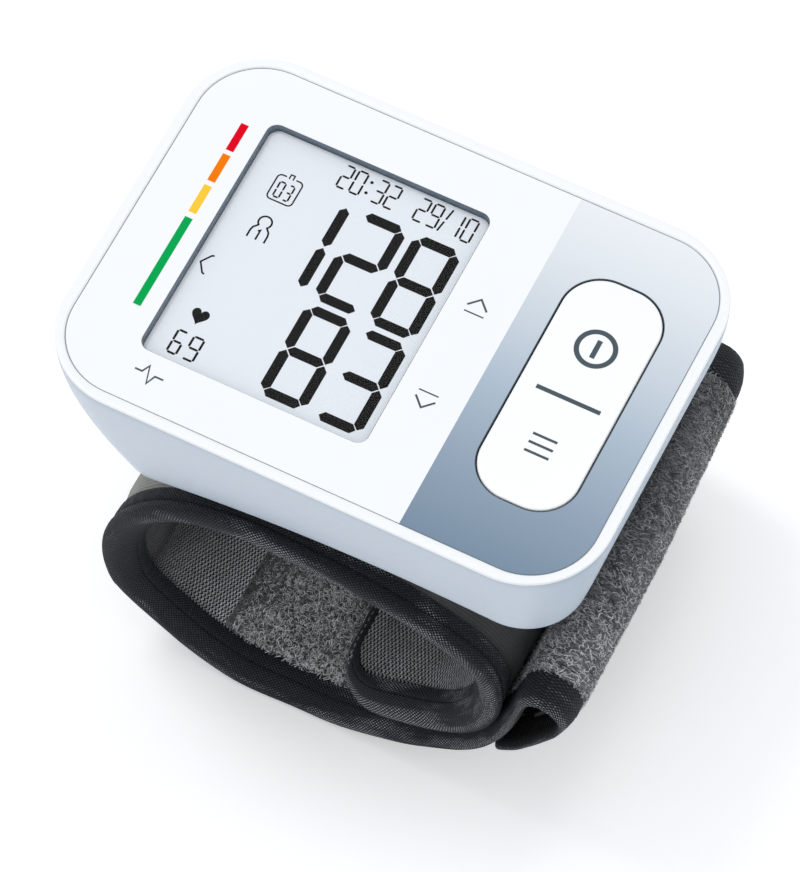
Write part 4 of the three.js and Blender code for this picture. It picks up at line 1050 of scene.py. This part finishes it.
def digit(art, text, x0, y0, width, height, thick, gap, cut_share=0.42):
    """One seven-segment figure whose lower left corner is at x0, y0."""
    x1 = x0 + width
    y1 = y0 + height
    middle = (y0 + y1) / 2
    half = thick / 2
    cut = thick * cut_share

    def level(y, kind):
        left = x0 + half + gap
        right = x1 - half - gap
        if kind == "top":
            outline = [(left, y - half), (left + cut, y), (right - cut, y), (right, y - half),
                       (right - half + gap / 2, y - thick), (left + half - gap / 2, y - thick)]
        elif kind == "bottom":
            outline = [(left, y + half), (left + half - gap / 2, y + thick),
                       (right - half + gap / 2, y + thick), (right, y + half),
                       (right - cut, y), (left + cut, y)]
        else:
            outline = [(left, y), (left + half, y + half), (right - half, y + half), (right, y),
                       (right - half, y - half), (left + half, y - half)]
        art.fill(outline)

    def upright(side, low, high, at_top):
        outer = x0 if side < 0 else x1
        inner = outer - side * thick
        spine = outer - side * half
        rounded_high = high - half if at_top else high
        outline = [
            (outer, low + half + gap + (cut if not at_top else 0)),
            (outer, high - half - gap - (cut if at_top else 0)),
            (spine, rounded_high - gap),
            (inner, high - thick - gap / 2 if at_top else high - half - gap),
            (inner, low + half + gap if at_top else low + thick + gap / 2),
            (spine, low + gap if at_top else low + half + gap),
        ]
        if side < 0:
            outline.reverse()
        art.fill(outline)

    for name in SEGMENTS[text]:
        if name == "a":
            level(y1, "top")
        elif name == "d":
            level(y0, "bottom")
        elif name == "g":
            level(middle, "middle")
        elif name in "bf":
            upright(1 if name == "b" else -1, middle, y1, True)
        else:
            upright(1 if name == "c" else -1, y0, middle, False)


# The photograph shows the figures through the window, a little above where the glass is
SHIFT_X = 0.125
SHIFT_Y = -0.249
figures = Print()


def put_digit(text, x0, x1, y0, y1, thick, gap):
    digit(figures, text, x0 + SHIFT_X, y0 + SHIFT_Y, x1 - x0, y1 - y0, thick, gap)


for text, x0, x1, y0, y1 in (
    ("1", -20.7, -13.3, -1.63, 14.24), ("2", -12.0, -4.6, -1.63, 14.24),
    ("8", -3.5, 3.92, -1.63, 14.24), ("8", -12.0, -4.6, -18.3, -2.47),
    ("3", -3.5, 3.92, -18.3, -2.47),
):
    put_digit(text, x0, x1, y0, y1, 1.52, 0.13)
for text, x0, x1 in (
    ("2", -17.24, -15.62), ("0", -15.26, -13.53), ("3", -11.85, -10.22), ("2", -9.9, -8.2),
    ("2", -5.28, -3.58), ("9", -3.22, -1.5), ("1", 0.1, 1.72), ("0", 2.13, 3.82),
):
    put_digit(text, x0, x1, 15.8, 19.86, 0.3, 0.07)
put_digit("6", -26.16, -24.4, -18.28, -14.2, 0.34, 0.07)
put_digit("9", -23.72, -21.8, -18.28, -14.2, 0.34, 0.07)
put_digit("0", -24.45, -23.28, 10.42, 13.26, 0.26, 0.06)
put_digit("3", -22.95, -21.9, 10.42, 13.26, 0.26, 0.06)
for y in (18.7, 16.84):
    figures.fill(circle_points(-12.76 + SHIFT_X, y + SHIFT_Y, 0.25, 0, 345, 15))


def drawn(points):
    return np.asarray(points) + (SHIFT_X, SHIFT_Y)


figures.stroke(drawn([(-1.13, 15.85), (-0.85, 17.6)]), 0.28)
figures.stroke(drawn([(-0.78, 18.0), (-0.46, 19.85)]), 0.28)
figures.stroke(drawn([(-27.0, -1.8), (-27.35, -1.9), (-28.37, -3.42), (-27.35, -4.93),
                      (-27.0, -5.0)]), 0.26)
box_left = circle_points(-24.45, 13.55, 0.65, 90, 180, 6)
box_low_left = circle_points(-24.45, 10.6, 0.65, 180, 270, 6)
box_low_right = circle_points(-21.85, 10.6, 0.65, 270, 360, 6)
box_right = circle_points(-21.85, 13.55, 0.65, 0, 90, 6)
figures.stroke(drawn(np.concatenate([
    [(-23.9, 14.2)], box_left, box_low_left, box_low_right, box_right, [(-22.4, 14.2)],
])), 0.22)
figures.stroke(drawn([(-23.45, 14.0), (-23.45, 14.75), (-22.85, 14.75), (-22.85, 14.0)]), 0.2)
head = circle_points(-23.21, 6.2, 0.98, -48, 228, 24)
figures.stroke(drawn(np.concatenate([
    [(-21.86, 3.1), (-21.86, 4.3), (-22.0, 4.85)], head, [(-24.42, 4.85), (-24.56, 4.3),
                                                          (-24.56, 3.1)],
])), 0.27)
figures.stroke(drawn([(-23.5, 4.55), (-23.2, 4.75), (-23.2, 3.1)]), 0.27)
heart = []
for t in np.linspace(0, 2 * math.pi, 48, endpoint=False):
    hx = 16 * math.sin(t) ** 3
    hy = 13 * math.cos(t) - 5 * math.cos(2 * t) - 2 * math.cos(3 * t) - math.cos(4 * t)
    heart.append((-24.4 + hx * 0.081, -11.2 + hy * 0.091))
figures.fill(drawn(heart)[::-1])
figures_piece = figures.make("display_figures", RIM_TOP - GLASS_DEPTH + 0.02, display_ink)

PLATE_TOP = RIM_TOP - PLATE_DEPTH + 0.012
for name, color, y0, y1 in (
    ("scale_red", "#e2001f", 13.27, 18.1), ("scale_orange", "#f77c00", 7.68, 12.53),
    ("scale_yellow", "#ffcb3c", 2.0, 6.9), ("scale_green", "#00a650", -14.5, 1.08),
):
    bar = Print()
    bar.box(-33.12, -31.92, y0, y1)
    piece = bar.make(name, PLATE_TOP, print_material(name, color))

marks = Print()
for x, y, turn in ((9.9, 6.9, 1), (9.9, -10.5, -1)):
    marks.stroke([(x - 1.5, y - turn * 0.75), (x, y + turn * 0.75),
                  (x + 1.5, y - turn * 0.75)], 0.3)
    marks.stroke([(x - 1.5, y - turn * 1.75), (x + 1.5, y - turn * 1.75)], 0.22)
marks.stroke([(-28.0, -23.4), (-26.9, -23.4), (-26.3, -22.2), (-25.5, -24.9), (-24.9, -23.4),
              (-23.6, -23.4)], 0.28)
marks_piece = marks.make("face_marks", PLATE_TOP, slate_line)

KEY_TOP = key_high[2] + 0.012
key_marks = Print()
key_marks.stroke(circle_points(27.45, 7.7, 2.72, 0, 352.5, 47), 0.74, closed=True)
key_marks.box(27.1, 27.85, 6.15, 9.15)
key_marks.box(22.6, 32.35, -1.45, -0.78)
for y in (-7.9, -9.3, -10.7):
    key_marks.box(25.4, 29.1, y - 0.2, y + 0.2)
key_marks_piece = key_marks.make("key_marks", KEY_TOP, slate_line, body="rocker")


# The cuff's band line

def centripetal(points, per_span):
    """Smooth line through points, sampled evenly in each span."""
    pts = np.array([(x * CUFF_HALF_LENGTH, z * RIM_TOP) for x, z in points])
    first = 2 * pts[0] - pts[1]
    last = 2 * pts[-1] - pts[-2]
    full = np.concatenate([[first], pts, [last]])
    line = []
    for i in range(len(pts) - 1):
        p0, p1, p2, p3 = full[i : i + 4]
        d0 = max(np.linalg.norm(p1 - p0) ** 0.5, 1e-6)
        d1 = max(np.linalg.norm(p2 - p1) ** 0.5, 1e-6)
        d2 = max(np.linalg.norm(p3 - p2) ** 0.5, 1e-6)
        t1 = (p1 - p0) / d0 - (p2 - p0) / (d0 + d1) + (p2 - p1) / d1
        t2 = (p2 - p1) / d1 - (p3 - p1) / (d1 + d2) + (p3 - p2) / d2
        t1, t2 = t1 * d1, t2 * d1
        for k in range(per_span):
            t = k / per_span
            line.append(
                (2 * p1 - 2 * p2 + t1 + t2) * t**3
                + (-3 * p1 + 3 * p2 - 2 * t1 - t2) * t**2
                + t1 * t + p1
            )
    line.append(pts[-1])
    return np.array(line)


PER_SPAN = 40
ALL_SHARES = LOOP_SHARES + FLAP_SHARES + TAIL_SHARES
band = centripetal(ALL_SHARES, PER_SPAN)
band[:, 1] = np.maximum(band[:, 1], 0.0)
for _ in range(2):
    band[20:-20, 1] = np.convolve(band[:, 1], np.ones(41) / 41, mode="valid")
band_s = np.concatenate([[0], np.cumsum(np.linalg.norm(np.diff(band, axis=0), axis=1))])
band_t = np.gradient(band, band_s, axis=0)
window = np.ones(21) / 21
for axis in (0, 1):
    padded = np.pad(band_t[:, axis], 10, mode="edge")
    band_t[:, axis] = np.convolve(padded, window, mode="valid")
band_t /= np.linalg.norm(band_t, axis=1)[:, None]
HINGE_S = band_s[(len(LOOP_SHARES) - 1) * PER_SPAN]
FOLD_S = band_s[(len(LOOP_SHARES) + len(FLAP_SHARES) - 1) * PER_SPAN]
END_S = band_s[-1]


def thickness(s):
    flap_share = np.clip((s - HINGE_S) / (FOLD_S - HINGE_S), 0, 1)
    tail_share = np.clip((s - FOLD_S) / (END_S - FOLD_S), 0, 1)
    thick = LOOP_THICKNESS + (FLAP_END_THICKNESS - LOOP_THICKNESS) * flap_share
    return thick + (TAIL_END_THICKNESS - FLAP_END_THICKNESS) * tail_share


def on_band(s, y, depth):
    """Points of the band: s along it, y across it, depth in from its outer side."""
    x = np.interp(s, band_s, band[:, 0])
    z = np.interp(s, band_s, band[:, 1])
    tx = np.interp(s, band_s, band_t[:, 0])
    tz = np.interp(s, band_s, band_t[:, 1])
    length = np.hypot(tx, tz)
    x = x - tz / length * depth
    z = z + tx / length * depth
    y = np.where(y > 0, y * BACK_REACH, y) + 0 * x
    share = np.clip((s - HINGE_S) / (FOLD_S - HINGE_S) * 2 - 1, 0, 1)
    x = x - SKEW * np.maximum(y, 0.0) * share**2 * (3 - 2 * share)
    return np.stack([x, y, np.maximum(z, 0.0)], -1)


loop_wave = ripple(3, (14, 38))
edge_wave = ripple(5, (9, 26))
fine_wave = ripple(8, (3.0, 7.0))


CORNER = 9.0
TAIL_CORNER = 1.6


def half_width(s, edge):
    """How far a layer reaches to each side: less where the band's two ends are rounded."""
    sides = edge + 0 * s
    for away, radius in ((s, CORNER), (END_S - s, TAIL_CORNER)):
        inside = np.clip(radius - away, 0, radius)
        drop = radius - np.sqrt(radius**2 - inside**2)
        sides = np.minimum(sides, CUFF_HALF_WIDTH - 1.3 - drop)
    return sides


def strip(name, s0, s1, low, high, edge, material, wave=0.0, step=0.9, y_step=1.3, dips=True,
          proud=0.0, fuzz=0.0):
    """A flat layer of the band from s0 to s1. low and high are shares of the thickness."""
    rows = max(3, int((s1 - s0) / step))
    columns = max(5, int(2 * edge / y_step))
    s = np.linspace(s0, s1, rows + 1)
    y = np.linspace(-1, 1, columns + 1)
    grid_s, grid_y = np.meshgrid(s, y, indexing="ij")
    grid_y = grid_y * half_width(grid_s, edge)
    thick = thickness(grid_s)
    sunk = 0.0
    if dips:
        beyond = np.clip((np.abs(grid_y) - edge + 1.4) / 0.9, 0, 1)
        near = np.exp(-(((np.abs(grid_y) - edge + 1.2) / 1.5) ** 2))
        sunk = (0.3 * near + 1.2 * beyond) * thick / LOOP_THICKNESS
    sway = wave * loop_wave(grid_s, grid_y) + wave * 0.3 * fine_wave(grid_s, grid_y)
    if fuzz:
        rng = np.random.default_rng(len(name))
        sway = sway + fuzz * rng.uniform(-1, 1, grid_s.shape)
    fade = np.minimum(1, np.minimum(grid_s - s0, s1 - grid_s) / 3 + 0.15)
    outward_low = low <= 0.5
    if outward_low:
        shown = low * thick + sunk + np.maximum(sway * fade, -0.12) - proud
        hidden = high * thick + 0 * shown
    else:
        shown = high * thick - sunk + np.minimum(sway * fade, 0.35) + proud
        hidden = low * thick + 0 * shown
    top = on_band(grid_s, grid_y, shown).reshape(-1, 3)
    back = on_band(grid_s, grid_y, hidden).reshape(-1, 3)
    count = columns + 1
    total = len(top)
    faces = []
    for r in range(rows):
        for c in range(columns):
            a = r * count + c
            faces.append((a, a + 1, a + count + 1, a + count))
            faces.append((total + a, total + a + count, total + a + count + 1, total + a + 1))
    border = list(range(count))
    border += [r * count + columns for r in range(1, rows + 1)]
    border += [rows * count + c for c in range(columns - 1, -1, -1)]
    border += [r * count for r in range(rows - 1, 0, -1)]
    for a, b in zip(border, border[1:] + border[:1]):
        faces.append((a, b, total + b, total + a))
    cloth = np.stack([grid_s, grid_y, 0 * grid_s], -1).reshape(-1, 3)
    cloth = np.concatenate([cloth, cloth + (0, 0, 2)])
    return new_mesh(name, np.concatenate([top, back]), faces, [material], cloth=cloth)


# Edging round an edge: distance in from the edge, and depth as a share of the thickness
OUTER_LEG = [
    (6.0, 0.14), (5.95, 0.06), (5.6, -0.012), (4.8, -0.03), (3.9, -0.018), (3.45, 0.015),
    (3.15, 0.07), (2.85, 0.02), (2.3, -0.04), (1.7, -0.07), (1.15, -0.065), (0.7, -0.035),
    (0.35, 0.025), (0.1, 0.13), (0.0, 0.27),
]
INNER_LEG = [
    (0.08, 0.4), (0.32, 0.5), (0.7, 0.6), (1.15, 0.7), (1.7, 0.8), (2.3, 0.89), (2.85, 0.945),
    (3.15, 0.93), (3.45, 0.985), (3.9, 1.018), (4.8, 1.03), (5.6, 1.012), (5.95, 0.94), (6.0, 0.86),
]
TAPE_SKIN = np.array(OUTER_LEG + INNER_LEG)
TAPE_INSIDE = np.column_stack([
    np.clip(TAPE_SKIN[::-1, 0], 0.55, 5.9),
    np.clip(0.48 + (TAPE_SKIN[::-1, 1] - 0.48) * 0.74, 0.13, 0.87),
])
TAPE_SECTION = np.concatenate([TAPE_SKIN, TAPE_INSIDE])
TAPE_ROUND = np.concatenate([[0], np.cumsum(np.hypot(
    np.diff(TAPE_SECTION[:, 0]), np.diff(TAPE_SECTION[:, 1]) * LOOP_THICKNESS))])
OUTER_STITCH = TAPE_ROUND[OUTER_LEG.index((3.15, 0.07))]
INNER_STITCH = TAPE_ROUND[len(OUTER_LEG) + INNER_LEG.index((3.15, 0.93))]
CREST = TAPE_ROUND[len(OUTER_LEG)]
tape_woven = tape_material("tape_woven", (OUTER_STITCH, INNER_STITCH), CREST)
tape_folded_shaded = tape_material("tape_folded_shaded", (OUTER_STITCH, INNER_STITCH), CREST, shaded_to=5.6)


def tape(name, path, material, cap=True, narrow=None):
    """Sweeps the edging along a path of (s, y) places with the direction into the fabric."""
    path = np.asarray(path, dtype=float)
    ahead = np.gradient(path, axis=0)
    ahead /= np.linalg.norm(ahead, axis=1)[:, None]
    inward = np.stack([-ahead[:, 1], ahead[:, 0]], 1)
    along = np.concatenate([[0], np.cumsum(np.linalg.norm(np.diff(path, axis=0), axis=1))])
    section = TAPE_SECTION
    rings = []
    cloths = []
    for i in range(len(path)):
        s0, y0 = path[i]
        w = section[:, 0] * (narrow(s0) if narrow else 1.0)
        wobble = 0.12 * edge_wave(along[i], 0.0)
        s = s0 + inward[i, 0] * (w + wobble * (w < 5))
        y = y0 + inward[i, 1] * (w + wobble * (w < 5))
        thick = thickness(s)
        sway = 0.1 * edge_wave(along[i] + 3 * w, w) * (thick / LOOP_THICKNESS)
        pucker = 0.06 * np.sin(2 * math.pi * along[i] / STITCH) * np.exp(-(((w - 3.1) / 0.9) ** 2))
        depth = section[:, 1] * thick
        outward = np.where(section[:, 1] < 0.48, 1.0, -1.0)
        depth = depth + outward * (pucker + np.maximum(sway, -0.08))
        rings.append(on_band(s, y, depth))
        # Near the hinge, where the edging lies in shade, its painted glint is weaker.
        hinge_glint_cut = np.interp(s0, HINGE_S + np.array([-50, -20, 18, 40]), (0, -1, -1, 0))
        cloths.append(np.stack([np.full(len(w), along[i]), TAPE_ROUND, np.full(len(w), hinge_glint_cut)], 1))
    return rings_object(name, rings, [material], cap_start=cap, cap_end=cap,
                        cloth=np.concatenate(cloths))


def straight(s0, s1, y, step=0.8):
    count = max(2, int(abs(s1 - s0) / step))
    return [(s, y) for s in np.linspace(s0, s1, count)]


def corner_path(s, y, radius, start, end, steps=12):
    angles = np.radians(np.linspace(start, end, steps))
    return [(s + radius * math.cos(a), y + radius * math.sin(a)) for a in angles]


W = CUFF_HALF_WIDTH

def end_width(s):
    """The edging is narrower where it rounds the inner flap's end."""
    return float(np.interp(s, (0.0, 3.0, CORNER + 6.0), (0.46, 0.5, 0.8)))


loop_path = (
    straight(HINGE_S, CORNER + 0.8, W)
    + corner_path(CORNER, W - CORNER, CORNER, 90, 180)
    + [(0.0, y) for y in np.linspace(W - CORNER - 0.8, -W + CORNER + 0.8, 50)]
    + corner_path(CORNER, -W + CORNER, CORNER, 180, 270)
    + straight(CORNER + 0.8, HINGE_S, -W)
)
loop_tape = tape("loop_edging", loop_path, tape_woven, narrow=end_width)
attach(loop_tape, "housing")
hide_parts("loop_edge_tape")


def blend_at_hinge(piece):
    """Bakes the piece's place into its mesh."""
    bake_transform(piece)


def strap_width(s):
    """The edging runs on from the loop's width to the strap's."""
    return float(np.interp(s, (HINGE_S, HINGE_S + 30, FOLD_S), (0.8, 0.88, 0.92)))


flap_front = tape("flap_edging_front", straight(HINGE_S, FOLD_S, -W), tape_woven,
                  narrow=strap_width)
flap_back = tape("flap_edging_back", straight(FOLD_S, HINGE_S, W), tape_woven,
                 narrow=strap_width)
for piece, node in ((flap_front, "flap_tape_front"), (flap_back, "flap_tape_back")):
    blend_at_hinge(piece)
    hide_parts(node)

tail_path = (
    straight(FOLD_S, END_S - TAIL_CORNER - 0.6, -W)
    + corner_path(END_S - TAIL_CORNER, -W + TAIL_CORNER, TAIL_CORNER, -90, 0, 8)
    + [(END_S, y) for y in np.linspace(-W + TAIL_CORNER + 0.6, W - TAIL_CORNER - 0.6, 60)]
    + corner_path(END_S - TAIL_CORNER, W - TAIL_CORNER, TAIL_CORNER, 0, 90, 8)
    + straight(END_S - TAIL_CORNER - 0.6, FOLD_S, W)
)
tail_tape = tape("tail_edging", tail_path, tape_folded_shaded, narrow=strap_width)


def blend_at_fold(piece):
    """Bakes the piece's place into its mesh."""
    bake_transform(piece)


blend_at_fold(tail_tape)
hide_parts("tail_edge_tape")

LOOP_EDGE = 27.3
STRAP_EDGE = 26.6
PILE_S = HINGE_S + 0.24 * (FOLD_S - HINGE_S) - 3.0
lining_mesh = mesh_material("lining_mesh", rgb("#868688"), rgb("#cacacc"), 40.0, 110.0, 0.74)
flap_mesh = mesh_material("flap_mesh", rgb("#b4b4b6"), rgb("#fcfcfe"), PILE_S - 2, HINGE_S, 0.8)
loop_cover = strip("loop_cover_cloth", 1.6, HINGE_S, 0.012, 0.28, LOOP_EDGE, cover_ribbed,
                   wave=0.16)
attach(loop_cover, "housing")
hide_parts("cuff_cover")
loop_lining = strip("loop_lining_cloth", 1.6, HINGE_S, 0.74, 0.99, LOOP_EDGE, lining_mesh,
                    wave=0.35)
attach(loop_lining, "housing")
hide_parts("cuff_lining")

flap_cover = strip("flap_cover_cloth", HINGE_S, FOLD_S, 0.012, 0.4, STRAP_EDGE, cover_ribbed,
                   wave=0.12)
flap_lining = strip("flap_lining_cloth", HINGE_S, PILE_S, 0.6, 0.985, STRAP_EDGE, flap_mesh,
                    wave=0.3)
for piece, node, look_slot in (
    (flap_cover, "flap_cover", "cover_fabric"), (flap_lining, "flap_lining", "mesh_fabric"),
):
    blend_at_hinge(piece)
    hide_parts(node)
flap_pile = strip("flap_pile_cloth", PILE_S - 1.2, FOLD_S, 0.6, 0.99, STRAP_EDGE, pile_loops,
                  wave=0.2, step=0.5, y_step=0.5, proud=0.12, fuzz=0.1)
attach(flap_pile, "outer_flap")
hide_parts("flap_pile")

tail_cover = strip("tail_cover_cloth", FOLD_S, END_S - 1.6, 0.02, 0.4, STRAP_EDGE, cover_ribbed)
tail_pile = strip("tail_pile_cloth", FOLD_S, END_S - 1.6, 0.6, 0.99, STRAP_EDGE, pile_loops,
                  wave=0.06, step=0.5, y_step=0.5, proud=0.22, fuzz=0.08)
for piece, node, look_slot in (
    (tail_cover, "tail_cover", "cover_fabric"), (tail_pile, "tail_pile", "pile_fabric"),
):
    blend_at_fold(piece)
    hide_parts(node)


FIBRE_HALF_WIDTH = 0.042


def pile_fibres(names, s0, s1, edge, count, seed, material):
    """Short curled fibres that stand a little over the pile, as thin ribbons, dealt out to
    the named pieces in turn."""
    rng = np.random.default_rng(seed)
    s = rng.uniform(s0, s1, count)
    y = rng.uniform(-1, 1, count) * edge
    turn = rng.uniform(0, 2 * math.pi, count)
    bend = rng.uniform(-1, 1, count) * 4.4
    length = rng.uniform(0.4, 1.25, count)
    rise = rng.uniform(0.08, 0.5, count)
    steps = 5
    points = []
    cloths = []
    for k in range(steps):
        share = k / (steps - 1)
        across = turn + math.pi / 2 + bend * share
        middle_s = s + length * share * np.cos(turn + bend * share / 2)
        middle_y = y + length * share * np.sin(turn + bend * share / 2)
        height = rise * math.sin(math.pi * (0.08 + 0.84 * share))
        for side in (-FIBRE_HALF_WIDTH, FIBRE_HALF_WIDTH):
            place_s = np.clip(middle_s + side * np.cos(across), s0 - 0.4, s1 + 0.4)
            place_y = np.clip(middle_y + side * np.sin(across), -edge - 0.4, edge + 0.4)
            points.append(on_band(place_s, place_y, thickness(place_s) * 0.99 + height))
            cloths.append(np.stack([s + share * 0.1, y, turn], -1))
    points = np.stack(points, 1)
    cloths = np.stack(cloths, 1)
    stride = 2 * steps
    made = []
    for number, name in enumerate(names):
        own = slice(number, None, len(names))
        faces = []
        for i in range(len(points[own])):
            start = i * stride
            for k in range(steps - 1):
                a = start + 2 * k
                faces.append((a, a + 1, a + 3, a + 2))
        made.append(new_mesh(name, points[own].reshape(-1, 3), faces, [material],
                             cloth=cloths[own].reshape(-1, 3)))
    return made


for flap_strands in pile_fibres(("flap_pile_strands_1", "flap_pile_strands_2"), PILE_S, FOLD_S - 3,
                                25.9, 38000, 21, inner_strands):
    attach(flap_strands, "outer_flap")
outer_strands = strand_material("outer_strands", ("#2a2b2d", "#9c9c9e", "#e6e6e6", "#ffffff"),
                                FOLD_S - 4, FOLD_S + 20)
# The tail's fibres start a little before the crease, so that the crease isn't bare
(tail_strands,) = pile_fibres(("tail_pile_strands",), FOLD_S - 3, END_S - 3.5, 25.6, 19000, 22,
                              outer_strands)
blend_at_fold(tail_strands)

hooks = strip("hook_cloth", FOLD_S + 0.5 * (END_S - FOLD_S), END_S - 1.2, -0.28, -0.06, 25.0,
              hook_rows, dips=False)
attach(hooks, "strap_tail")
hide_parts("hook_patch")


# The boss between the housing and the cuff, and every CAD node that stays as it is

BOSS_LEFT, BOSS_RIGHT, BOSS_FRONT, BOSS_BACK = -13.5, 20.0, -18.0, 20.0
BOSS_CORNER = 8.0


def boss_body():
    """Block under the tub, round at its corners, whose foot follows the cuff."""
    middle, reach = (BOSS_LEFT + BOSS_RIGHT) / 2, (BOSS_RIGHT - BOSS_LEFT) / 2
    xs = middle - reach * np.cos(np.linspace(0, math.pi, 41))
    upper = band[(band_s > 0.35 * HINGE_S) & (band_s < 0.85 * HINGE_S)]
    order = np.argsort(upper[:, 0])
    foot = np.interp(xs, upper[order][:, 0], upper[order][:, 1]) + 0.35
    head = RIM_TOP - arch_depth(xs) + 0.4
    to_end = np.minimum(reach - np.abs(xs - middle), BOSS_CORNER)
    inset = BOSS_CORNER - np.sqrt(BOSS_CORNER**2 - (BOSS_CORNER - to_end) ** 2)
    rings = []
    for x, low, high, cut in zip(xs, foot, head, inset):
        front, back = BOSS_FRONT + cut, BOSS_BACK - cut
        rings.append(np.array([(x, front, low), (x, back, low), (x, back, high), (x, front, high)]))
    return rings_object("cuff_boss", rings, [blue_case])


boss = boss_body()
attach(boss, "housing")

steel = metal("steel", rgb("#b9bcc0"), 0.3)
brass = metal("brass", rgb("#c9ac6a"), 0.32)
looks = {
    "silicone": plastic("silicone", rgb("#b9bdc2"), 0.65),
    "grey_plastic": plastic("grey_plastic", rgb("#9aa0a6"), 0.5),
    "board": plastic("board", rgb("#1f5b3a"), 0.4, tone=0.12),
    "chip": plastic("chip", rgb("#18191c"), 0.45),
    "steel": steel,
    "brass": brass,
    "cell_jacket": plastic("cell_jacket", rgb("#3c4650"), 0.35),
    "bladder_film": plastic("bladder_film", rgb("#8e969c"), 0.4),
    "stiff_plastic": plastic("stiff_plastic", rgb("#2a2c2f"), 0.5),
}
slot_of = {part["node"]: part["material_slot"] for part in frame["record"]["subparts"]}
for node_name, node in nodes.items():
    finish = looks.get(slot_of.get(node_name))
    if finish is None:
        continue
    for material_slot in node.material_slots:
        material_slot.link = "OBJECT"
        material_slot.material = finish
